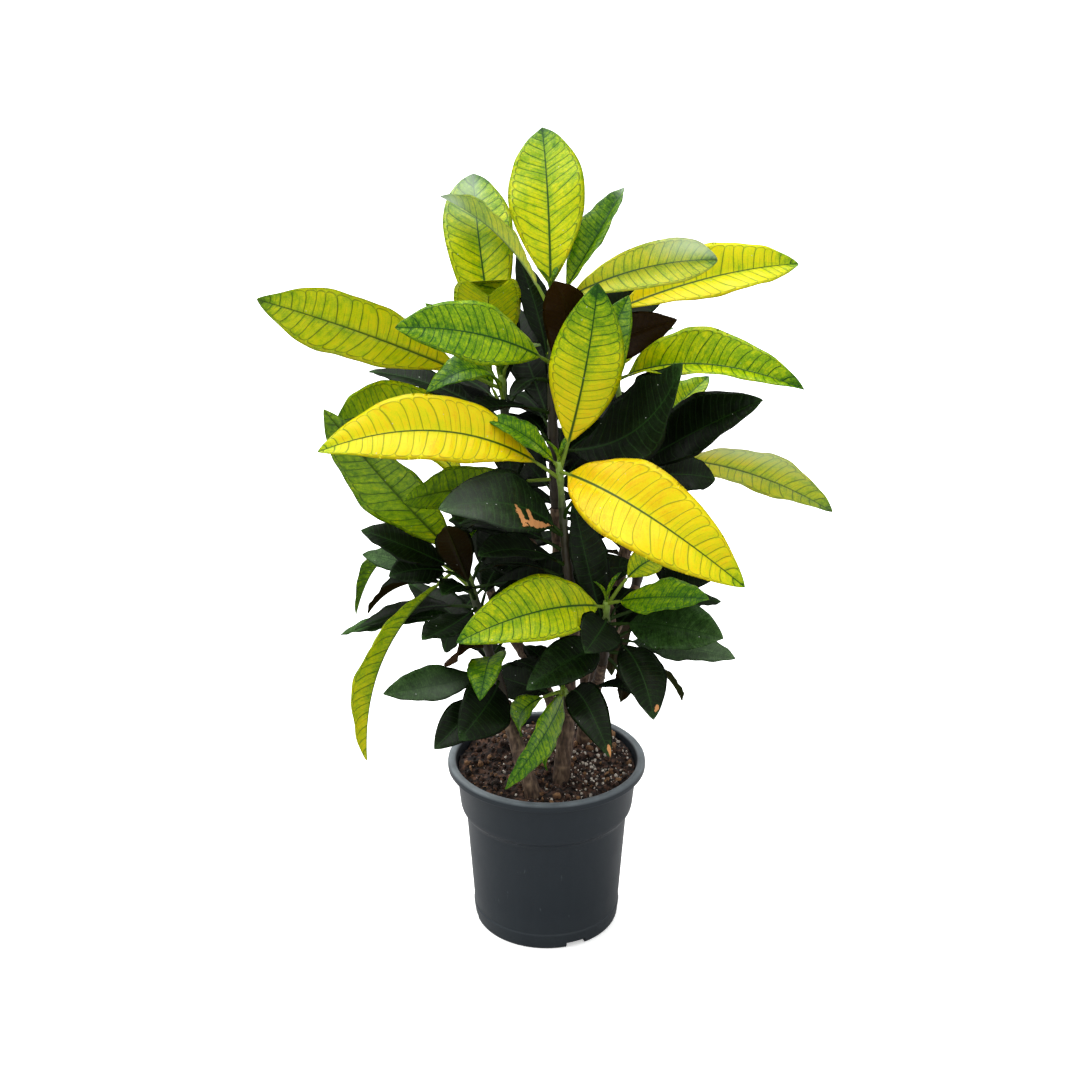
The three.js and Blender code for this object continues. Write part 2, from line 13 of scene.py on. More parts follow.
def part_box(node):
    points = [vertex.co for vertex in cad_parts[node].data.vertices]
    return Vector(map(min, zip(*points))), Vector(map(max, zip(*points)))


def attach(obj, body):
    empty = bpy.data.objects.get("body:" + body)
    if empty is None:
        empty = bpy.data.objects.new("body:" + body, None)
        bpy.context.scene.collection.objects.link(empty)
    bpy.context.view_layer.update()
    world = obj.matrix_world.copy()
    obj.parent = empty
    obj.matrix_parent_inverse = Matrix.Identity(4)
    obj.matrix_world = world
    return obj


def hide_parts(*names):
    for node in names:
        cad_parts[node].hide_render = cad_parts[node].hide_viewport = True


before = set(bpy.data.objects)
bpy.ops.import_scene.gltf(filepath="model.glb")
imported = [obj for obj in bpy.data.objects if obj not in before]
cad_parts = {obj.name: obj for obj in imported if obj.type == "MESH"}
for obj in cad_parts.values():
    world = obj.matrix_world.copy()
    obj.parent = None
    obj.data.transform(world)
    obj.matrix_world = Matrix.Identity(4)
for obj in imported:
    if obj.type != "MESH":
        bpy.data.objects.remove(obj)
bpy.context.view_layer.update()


# The view. The camera stands 1.5 m in front of the plant and 1 m up and looks 21 degrees down, as
# in the photograph. The floor is plain white paper, under one broad soft lamp and a white sky.
CAMERA_AT = (-0.007, -1.5, 1.011)
LOOKS_DOWN = math.radians(21)
CAMERA_LENS = 53.1
FLOOR_RADIUS = 60
# The paper is white to the camera and greyer to the light that it throws back at the plant.
FLOOR_WHITE = "f4f5f4"
FLOOR_GREY = "a8a8a8"
FLOOR_LIFT = 0.42
LAMP_TILT = (math.radians(-16), math.radians(-20), 0)
LAMP_STRENGTH = 4.6
LAMP_SPREAD = math.radians(80)
SKY_STRENGTH = 1
WHITE = (1, 1, 1, 1)

scene = bpy.context.scene
scene.view_settings.view_transform = "Standard"


def linear(hex_colour):
    """An sRGB hex colour as linear light."""
    parts = [int(hex_colour[i : i + 2], 16) / 255 for i in (0, 2, 4)]
    return [p / 12.92 if p <= 0.04045 else ((p + 0.055) / 1.055) ** 2.4 for p in parts] + [1]


def add(tree, kind, inputs, stops=(), **settings):
    """Adds a node with its settings, a colour ramp's stops and what its inputs get: a value, or a
    link from a socket or from the first output that another node has in use."""
    made = tree.nodes.new("ShaderNode" + kind)
    for name, value in settings.items():
        setattr(made, name, value)
    for i, (at, shade) in enumerate(stops):
        elements = made.color_ramp.elements
        stop = elements[i] if i < 2 else elements.new(at)
        stop.position = at
        stop.color = linear(shade)
    for name, value in inputs.items():
        if isinstance(value, bpy.types.Node):
            value = next(output for output in value.outputs if output.enabled)
        if isinstance(value, bpy.types.NodeSocket):
            tree.links.new(value, made.inputs[name])
        else:
            made.inputs[name].default_value = value
    return made


def new_material(name):
    """An empty material, its node tree and the place on the object that a node reads."""
    made = bpy.data.materials.new(name)
    made.use_nodes = True
    made.node_tree.nodes.clear()
    return made, made.node_tree, add(made.node_tree, "TexCoord", {}).outputs["Object"]


camera = bpy.data.objects.new("camera", bpy.data.cameras.new("camera"))
camera.location = CAMERA_AT
camera.rotation_euler = (math.pi / 2 - LOOKS_DOWN, 0, 0)
camera.data.lens = CAMERA_LENS
camera.data.clip_end = 2 * FLOOR_RADIUS
scene.collection.objects.link(camera)
scene.camera = camera

lamp = bpy.data.objects.new("lamp", bpy.data.lights.new("lamp", "SUN"))
lamp.rotation_euler = LAMP_TILT
lamp.data.energy = LAMP_STRENGTH
lamp.data.angle = LAMP_SPREAD
scene.collection.objects.link(lamp)

scene.world = bpy.data.worlds.new("sky")
scene.world.use_nodes = True
background = scene.world.node_tree.nodes["Background"]
background.inputs["Color"].default_value = WHITE
background.inputs["Strength"].default_value = SKY_STRENGTH

floor_mesh = bpy.data.meshes.new("floor")
floor_shape = bmesh.new()
bmesh.ops.create_circle(floor_shape, cap_ends=True, segments=64, radius=FLOOR_RADIUS)
floor_shape.to_mesh(floor_mesh)
floor = bpy.data.objects.new("floor", floor_mesh)
scene.collection.objects.link(floor)
paper, tree, _ = new_material("paper_matt_white")
seen = add(tree, "LightPath", {}).outputs["Is Camera Ray"]
# A mix has its share at 0 and its two colours at 6 and 7.
shade = add(tree, "Mix", {0: seen, 6: linear(FLOOR_GREY), 7: linear(FLOOR_WHITE)}, data_type="RGBA")
lift = add(tree, "Math", {0: seen, 1: FLOOR_LIFT}, operation="MULTIPLY")
glow = {"Emission Color": WHITE, "Emission Strength": lift}
skin = add(tree, "BsdfPrincipled", {"Base Color": shade, "Roughness": 0.9, **glow})
add(tree, "OutputMaterial", {"Surface": skin})
floor_mesh.materials.append(paper)


# The pot. A thin-walled nursery pot of slate grey polypropylene, injection moulded in one shot:
# a foot ring with notches, a tapered body, a stepped collar and a rolled lip. The mould's spark
# finish leaves it matt, and handling leaves pale scuffs and a little dried peat. A pale band on
# the lip is a painted highlight.
MM = 0.001
RIM_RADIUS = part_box("pot")[1].x / MM
POT_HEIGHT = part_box("pot")[1].z / MM
WALL = 1.8
FLOOR_TOP = 7
POT_SIDES = 144
# Each corner of the section has a radius, a height and how far its rounding reaches.
POT_CORNERS = [
    (14, 0, 0.8),
    (16, 4.5, 0.8),
    (70.6, 4.5, 0.8),
    (71.6, 0, 0.6),
    (76.4, 0, 0.8),
    (77.8, 2.5, 1.2),
    (79.4, 17, 0.5),
    (78.5, 18.6, 0.5),
    (86, 128, 1.5),
    (87.4, 131.5, 1.5),
    (91, 135, 1.5),
    (92, 139, 2),
    (96.3, 181.6, 1),
    (RIM_RADIUS, 181.6, 1.2),
    (RIM_RADIUS, POT_HEIGHT, 3.8),
    (96.6, POT_HEIGHT, 3),
    (96.3 - WALL, 180, 2),
    (92 - WALL, 139, 2),
    (86 - WALL, 131, 3),
    (78 - WALL, FLOOR_TOP + 1, 1.5),
    (75, FLOOR_TOP, 1.5),
]
DRAIN_HOLES = 6
DRAIN_RADIUS = 5.5
DRAIN_CIRCLE = 46
FOOT_RADIUS = 77.6
NOTCH_SIZE = (16, 22, 12)
NOTCH_ANGLES = (-66, -170, 54)
PLASTIC = "20272d"
PLASTIC_DUSTY = "353b3e"
SCUFF = "6d777c"
PAINTED_LIP_HIGHLIGHT = "848e93"
# Dust lies up to one height, and a highlight is painted on the lip from another on.
DUST_HEIGHT = 45
LIP_START = POT_HEIGHT - 3.2
LIP_END = POT_HEIGHT - 0.4


def place(name, body, material, replaced=()):
    """Makes a piece of the model from a body: its points in millimetres, its faces and the values
    that its points carry."""
    points, faces, values = body
    mesh = bpy.data.meshes.new(name)
    mesh.from_pydata((points * MM).tolist(), [], faces)
    for key, numbers in values.items():
        mesh.attributes.new(key, "FLOAT", "POINT").data.foreach_set("value", numbers)
    mesh.shade_smooth()
    mesh.materials.append(material)
    piece = bpy.data.objects.new(name, mesh)
    scene.collection.objects.link(piece)
    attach(piece, "root")
    if replaced:
        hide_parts(*replaced)
    return piece


def rounded(corners, steps=5):
    """An outline with each of its corners eased over its own reach."""
    outline = []
    for i, (radius, height, reach) in enumerate(corners):
        corner = np.array([radius, height], float)
        before = np.array(corners[i - 1][:2] if i else (0, height), float)
        after = np.array(corners[i + 1][:2] if i + 1 < len(corners) else (0, height), float)
        ends = []
        for other in (before, after):
            away = other - corner
            far = np.linalg.norm(away)
            ends.append(corner + away / far * min(reach, 0.45 * far))
        for t in np.linspace(0, 1, steps):
            outline.append((1 - t) ** 2 * ends[0] + 2 * t * (1 - t) * corner + t * t * ends[1])
    return np.array(outline)


def ring_angles(sides):
    """The angles at which the points of a ring stand."""
    return np.linspace(0, 2 * math.pi, sides, endpoint=False)


def wrapped(rings, around):
    """The faces of a stack of closed rings, with a cap at each end."""
    i = np.arange(rings - 1)[:, None] * around
    j = np.arange(around)[None, :]
    k = (j + 1) % around
    sides = np.stack([i + j, i + k, i + k + around, i + j + around], -1).reshape(-1, 4)
    last = (rings - 1) * around
    caps = [list(range(around))[::-1], list(range(last, last + around))]
    return sides.tolist() + caps


def turned(outline, sides):
    """The points of an outline turned round the axis, ring by ring."""
    angle = ring_angles(sides)
    radius, height = outline[:, :1], outline[:, 1:]
    ring = (radius * np.cos(angle), radius * np.sin(angle), height + 0 * angle)
    return np.stack(ring, -1).reshape(-1, 3)


def moulded_polypropylene():
    """Matt plastic: pebbled grain, faint flow streaks, dust low down, scuffs, a painted lip highlight.
    """
    made, tree, where = new_material("polypropylene_moulded_matt")
    height = add(tree, "SeparateXYZ", {"Vector": where}).outputs["Z"]
    # The grain is 1.2 mm here, coarser than the mould's own, to show in the render.
    grain = add(tree, "TexNoise", {"Vector": where, "Scale": 1 / 0.0012, "Detail": 3})
    cloud = add(tree, "TexNoise", {"Vector": where, "Scale": 1 / 0.035, "Detail": 4})
    drawn = add(tree, "Mapping", {"Vector": where, "Scale": (1, 1, 0.06)})
    streak = add(tree, "TexNoise", {"Vector": drawn, "Scale": 1 / 0.009, "Detail": 2})
    slanted = add(tree, "Mapping", {"Vector": where, "Scale": (1, 1, 0.25), "Rotation": (0.5, 0.3, 0)})
    scratch = add(tree, "TexNoise", {"Vector": slanted, "Scale": 1 / 0.006, "Detail": 6})
    low = {"Value": height, "From Min": DUST_HEIGHT * MM, "From Max": 0, "To Max": 0.7}
    # The pale band on the lip, patchy with the cloud, is a painted highlight.
    lip_highlight = {"Value": height, "From Min": LIP_START * MM, "From Max": LIP_END * MM, "To Max": 1.1}
    low, lip_highlight = (
        add(tree, "Math", {0: add(tree, "MapRange", band), 1: cloud}, operation="MULTIPLY")
        for band in (low, lip_highlight)
    )
    scuffed = {"Value": scratch, "From Min": 0.7, "From Max": 0.78, "To Max": 0.35}
    scuffed = add(tree, "MapRange", scuffed)
    tone = add(tree, "MapRange", {"Value": streak, "To Min": 0.92, "To Max": 1.08})
    dusty = {0: low, 6: linear(PLASTIC), 7: linear(PLASTIC_DUSTY)}
    colour = add(tree, "Mix", dusty, data_type="RGBA")
    colour = add(tree, "VectorMath", {0: colour, "Scale": tone}, operation="SCALE")
    for share, shade in ((scuffed, SCUFF), (lip_highlight, PAINTED_LIP_HIGHLIGHT)):
        colour = add(tree, "Mix", {0: share, 6: colour, 7: linear(shade)}, data_type="RGBA")
    rough = add(tree, "MapRange", {"Value": cloud, "To Min": 0.34, "To Max": 0.5})
    bump = add(tree, "Bump", {"Height": grain, "Strength": 0.25, "Distance": 0.0003})
    plastic = {"Base Color": colour, "Roughness": rough, "IOR": 1.49, "Specular IOR Level": 0.25}
    skin = add(tree, "BsdfPrincipled", {**plastic, "Normal": bump})
    add(tree, "OutputMaterial", {"Surface": skin})
    return made


def cutters():
    """The six drain holes and the notches of the foot, as one mesh to cut with."""
    shape = bmesh.new()
    radius, depth = DRAIN_RADIUS * MM, 3 * FLOOR_TOP * MM
    drill = {"cap_ends": True, "segments": 24, "radius1": radius, "radius2": radius, "depth": depth}
    for i in range(DRAIN_HOLES):
        hole = bmesh.ops.create_cone(shape, **drill)
        angle = 2 * math.pi * (i + 0.5) / DRAIN_HOLES
        shift = Vector((math.cos(angle), math.sin(angle), 0)) * DRAIN_CIRCLE * MM
        bmesh.ops.translate(shape, verts=hole["verts"], vec=shift)
    for degrees in NOTCH_ANGLES:
        notch = bmesh.ops.create_cube(shape, size=1)["verts"]
        bmesh.ops.scale(shape, verts=notch, vec=Vector(NOTCH_SIZE) * MM)
        bmesh.ops.translate(shape, verts=notch, vec=Vector((FOOT_RADIUS * MM, 0, 0)))
        turn = Euler((0, 0, math.radians(degrees))).to_matrix()
        bmesh.ops.rotate(shape, verts=notch, cent=(0, 0, 0), matrix=turn)
    mesh = bpy.data.meshes.new("pot_cutters")
    shape.to_mesh(mesh)
    return bpy.data.objects.new("pot_cutters", mesh)


outline = rounded(POT_CORNERS)
turned_pot = (turned(outline, POT_SIDES), wrapped(len(outline), POT_SIDES), {})
pot = place("nursery_pot", turned_pot, moulded_polypropylene(), ["pot"])
cutter = cutters()
scene.collection.objects.link(cutter)
cut = pot.modifiers.new("cut", "BOOLEAN")
cut.object = cutter
cut.operation = "DIFFERENCE"
whole_pot = pot.data
cut_pot = pot.evaluated_get(bpy.context.evaluated_depsgraph_get())
pot.data = bpy.data.meshes.new_from_object(cut_pot)
pot.modifiers.clear()
bpy.data.objects.remove(cutter)
bpy.data.meshes.remove(whole_pot)
pot.data.set_sharp_from_angle(angle=math.radians(40))


# The potting mix. Dark peat with coco fibre, bark chips and white perlite, filled to 11 mm below
# the lip and heaped a little against the back. It is lumpy, matt and darker where it is damp.
SOIL_LEVEL = 179
SOIL_EDGE = 93
# The radii and heights of the pot's wall and floor where the mix fills it, a gap clear of them.
SOIL_GAP = 0.5
SOIL_WALL = [
    (74, FLOOR_TOP + SOIL_GAP),
    (77.8 - WALL, FLOOR_TOP + 3 + SOIL_GAP),
    (85 - WALL, 128),
    (91 - WALL, 141),
]
SOIL_REACH = 90
SOIL_SIDES = 160
SOIL_RINGS = 52
PEAT = ("0b0604", "2a1a12", "5e4232")
PERLITE = ("a89e92", "e8e0d4")
FIBRE = ("5a3d27", "8d6a48")


def soil_top(x, y):
    """The height of the mix at a place."""
    lumps = 2.2 * np.sin(x / 17 + 1) * np.cos(y / 13)
    crumbs = 1.6 * np.sin(x / 7.3) * np.sin(y / 9.1 + 2)
    right = 6 * np.exp(-((x - 60) ** 2 + (y - 55) ** 2) / 900)
    left = 6 * np.exp(-((x + 50) ** 2 + (y - 55) ** 2) / 900)
    return SOIL_LEVEL + lumps + crumbs + right + left


def loose(name, shades, grain_size, roughness):
    """A rough loose material that goes through its shades from grain to grain."""
    made, tree, where = new_material(name)
    coarse = add(tree, "TexNoise", {"Vector": where, "Scale": 1 / grain_size, "Detail": 8})
    stops = zip(np.linspace(0.36, 0.64, len(shades)), shades)
    ramp = add(tree, "ValToRGB", {"Fac": coarse}, stops)
    bump = add(tree, "Bump", {"Height": coarse, "Strength": 0.9, "Distance": grain_size / 4})
    skin = add(tree, "BsdfPrincipled", {"Base Color": ramp, "Roughness": roughness, "Normal": bump})
    add(tree, "OutputMaterial", {"Surface": skin})
    return made


def potting_mix():
    """The body of the mix: the inside of the pot, and a crumbly top."""
    points = [turned(np.array(SOIL_WALL) - [SOIL_GAP, 0], SOIL_SIDES)]
    angle = ring_angles(SOIL_SIDES)
    for i in range(SOIL_RINGS):
        radius = SOIL_EDGE * (1 - (i / SOIL_RINGS) ** 1.1) + 0.5
        x, y = radius * np.cos(angle), radius * np.sin(angle)
        z = soil_top(x, y)
        for j in range(SOIL_SIDES):
            spot = Vector((x[j], y[j], 0))
            z[j] += 2.6 * noise.fractal(spot / 9, 0.8, 2.1, 4)
            z[j] += 1.3 * noise.noise(spot / 2.2)
        points.append(np.stack([x, y, z], -1))
    return np.concatenate(points), wrapped(len(SOIL_WALL) + SOIL_RINGS, SOIL_SIDES), {}


def grains(seed, count, sizes, flatness, spread):
    """Angular lumps lying half sunk in the mix. spread turns two draws into a place."""
    dice = random.Random(seed)
    base = bmesh.new()
    bmesh.ops.create_icosphere(base, subdivisions=2, radius=0.5)
    ball = np.array([v.co for v in base.verts])
    ball_faces = np.array([[v.index for v in f.verts] for f in base.faces])
    points, faces = [], []
    for i in range(count):
        x, y = spread(dice)
        size = sizes[0] + (sizes[1] - sizes[0]) * dice.random() ** 2
        turn = Euler([dice.uniform(0, 6.3) for _ in range(3)]).to_matrix()
        rough = 1 + 0.5 * np.array([noise.noise(Vector(p) * 2.5 + Vector((i, 0, 0))) for p in ball])
        lump = ball * rough[:, None] * [1, dice.uniform(0.6, 1), dice.uniform(flatness, 1)] * size
        points.append(lump @ np.array(turn).T + [x, y, soil_top(x, y) + 0.25 * size + 0.6])
        faces += (ball_faces + i * len(ball)).tolist()
    return np.concatenate(points), faces, {}


def anywhere(dice):
    radius, angle = SOIL_REACH * math.sqrt(dice.random()), dice.uniform(0, 2 * math.pi)
    return radius * math.cos(angle), radius * math.sin(angle)


def mostly_right(dice):
    """White grains lie mostly on the right, where the mix was washed by watering."""
    while True:
        x, y = anywhere(dice)
        if dice.random() < 0.18 + 0.8 / (1 + math.exp(-(x - 15) / 14)):
            return x, y


peat = loose("peat_damp_crumbled", PEAT, 0.006, 0.95)
place("potting_mix", potting_mix(), peat, ["soil"])
place("peat_crumbs", grains(3, 620, (1.8, 7.5), 0.5, anywhere), peat)
perlite = loose("perlite_expanded_grains", PERLITE, 0.002, 0.85)
place("perlite_grains", grains(5, 430, (0.8, 4.4), 0.7, mostly_right), perlite)
fibre = loose("coco_fibre_dry", FIBRE, 0.004, 0.9)
place("bark_chips", grains(8, 150, (2.5, 9), 0.12, anywhere), fibre)


# The woody stems. Each plant has its own trunk, which stands in the mix and forks. The bark is
# thin, greyish brown and dull, with fine lengthwise wrinkles and a raised scar with a paler ring
# wherever a leaf has dropped.
STEMS = {
    "stem_left": {
        "radius": (9, 7),
        "routes": [[(-12, -70, 115), (-14, -67, 178), (-28, -58, 225), (-43, -48, 277)]],
    },
    "stem_middle": {
        "radius": (9.5, 6),
        "routes": [
            [(14, -36, 115), (15, -32, 178), (22, -20, 252), (20, -12, 330), (13, -5, 410), (9, 0, 470)],
            [(21, -20, 248), (22, -30, 260), (22, -40, 270)],
            [(20, -14, 312), (26, -38, 345), (26, -58, 380)],
            [(20, -12, 335), (0, 8, 385), (-22, 22, 440), (-36, 27, 500)],
            [(19, -25, 225), (-5, 15, 270), (-45, 52, 320), (-60, 70, 350)],
        ],
    },
    "stem_right": {
        "radius": (9.5, 6),
        "routes": [
            [(38, 46, 115), (40, 45, 178), (50, 28, 250), (66, 18, 340), (84, 14, 440)],
            [(50, 27, 252), (54, -8, 285), (56, -44, 320)],
            [(60, 22, 300), (80, 50, 330), (95, 70, 355)],
            [(44, 38, 210), (40, 70, 300), (35, 95, 400)],
        ],
    },
}
BRANCH_RADIUS = (6.5, 5)
STEM_STEP = 2.2
STEM_SIDES = 28
SCAR_EVERY = 13
GOLDEN_ANGLE = 137.5
BARK = ("2c1f16", "4a3728", "6d5a48")
SCAR = "8a745c"


def flowing(points, step):
    """A smooth curve through the points, with a point about every step along it."""
    points = [np.array(p, float) for p in points]
    points = [2 * points[0] - points[1], *points, 2 * points[-1] - points[-2]]
    curve = []
    for i in range(1, len(points) - 2):
        before, start, end, after = points[i - 1 : i + 3]
        spans = ((before, start), (start, end), (end, after))
        a, b, c = (math.sqrt(np.linalg.norm(q - p)) for p, q in spans)
        leaving = ((start - before) / a - (end - before) / (a + b) + (end - start) / b) * b
        arriving = ((end - start) / b - (after - start) / (b + c) + (after - end) / c) * b
        count = max(2, round(np.linalg.norm(end - start) / step))
        for t in np.arange(count) / count:
            curve.append(
                start * (2 * t**3 - 3 * t**2 + 1)
                + leaving * (t**3 - 2 * t**2 + t)
                + end * (3 * t**2 - 2 * t**3)
                + arriving * (t**3 - t**2)
            )
    return np.array([*curve, points[-2]])


def lengths_along(curve):
    """How far along a curve each of its points lies."""
    steps = np.linalg.norm(np.diff(curve, axis=0), axis=1)
    return np.concatenate([[0], np.cumsum(steps)])


def swept(curve, radius, sides, relief):
    """The points of a round stem along a curve, with the relief of its skin in millimetres."""
    distance = lengths_along(curve)
    tangents = np.gradient(curve, axis=0)
    tangents /= np.linalg.norm(tangents, axis=1)[:, None]
    across = np.cross(tangents[0], [0.3, 1, 0.2])
    angle = ring_angles(sides)
    rings = []
    for i, tangent in enumerate(tangents):
        across = across - tangent * (across @ tangent)
        across /= np.linalg.norm(across)
        around = np.cross(tangent, across)
        share = distance[i] / distance[-1]
        reach = radius[0] + (radius[1] - radius[0]) * share
        reach = reach + relief(distance[i], angle, reach)
        ring = np.cos(angle)[:, None] * across + np.sin(angle)[:, None] * around
        rings.append(curve[i] + ring * np.broadcast_to(reach, sides)[:, None])
    return np.concatenate(rings)


def joined(bodies):
    """Several bodies as one."""
    points, faces, values, first = [], [], {}, 0
    for part_points, part_faces, part_values in bodies:
        faces += [[first + v for v in face] for face in part_faces]
        first += len(part_points)
        points.append(part_points)
        for key, numbers in part_values.items():
            values.setdefault(key, []).append(numbers)
    return np.concatenate(points), faces, {key: np.concatenate(v) for key, v in values.items()}


def scars_at(distance, angle, radius):
    """How much of a leaf scar there is at a place on a stem: its cushion, then its ring."""
    k = np.round(distance / SCAR_EVERY)
    along = distance - SCAR_EVERY * (k + 0.18 * math.sin(7.7 * k))
    turn = (angle - math.radians(GOLDEN_ANGLE) * k + math.pi) % (2 * math.pi) - math.pi
    cushion = np.exp(-((along / 2.4) ** 2) - (turn * radius / 4.2) ** 2)
    ring = np.exp(-((along / 0.8) ** 2)) + 0 * angle
    return cushion, ring


def bark_relief(distance, angle, radius):
    cushion, ring = scars_at(distance, angle, radius)
    wrinkle = np.sin(9 * angle + 3 * math.sin(distance / 23)) + np.sin(17 * angle - distance / 9)
    return 1.1 * cushion - 0.3 * ring + 0.16 * wrinkle


def croton_bark():
    """Dull bark, streaked lengthwise and paler at its scars."""
    made, tree, where = new_material("bark_thin_wrinkled")
    drawn = add(tree, "Mapping", {"Vector": where, "Scale": (1, 1, 0.25)})
    streak = add(tree, "TexNoise", {"Vector": drawn, "Scale": 1 / 0.003, "Detail": 7})
    ramp = add(tree, "ValToRGB", {"Fac": streak}, zip((0.34, 0.5, 0.66), BARK))
    scar = add(tree, "Attribute", {}, attribute_name="scar").outputs["Fac"]
    colour = add(tree, "Mix", {0: scar, 6: ramp, 7: linear(SCAR)}, data_type="RGBA")
    bump = add(tree, "Bump", {"Height": streak, "Strength": 0.8, "Distance": 0.0006})
    skin = add(tree, "BsdfPrincipled", {"Base Color": colour, "Roughness": 0.82, "Normal": bump})
    add(tree, "OutputMaterial", {"Surface": skin})
    return made


bark = croton_bark()
for name, stem in STEMS.items():
    woods = []
    for i, route in enumerate(stem["routes"]):
        curve = flowing(route, STEM_STEP)
        radius = stem["radius"] if i == 0 else BRANCH_RADIUS
        points = swept(curve, radius, STEM_SIDES, bark_relief)
        scars = []
        for far in lengths_along(curve):
            cushion, ring = scars_at(far, ring_angles(STEM_SIDES), radius[0])
            scars.append(0.7 * cushion + 0.25 * ring)
        values = {"scar": np.clip(np.concatenate(scars), 0, 1)}
        woods.append((points, wrapped(len(curve), STEM_SIDES), values))
    place(name + "_bark", joined(woods), bark, [name])


# The shoots. Each is the leafy green end of a branch, with old dark leaves below its split and
# young bright ones above. A blade's halves fold up from the midrib, and its margin curls down.
CURL = 0.15
MARGIN_WAVE = 0.07
MARGIN_WAVES = 2.5
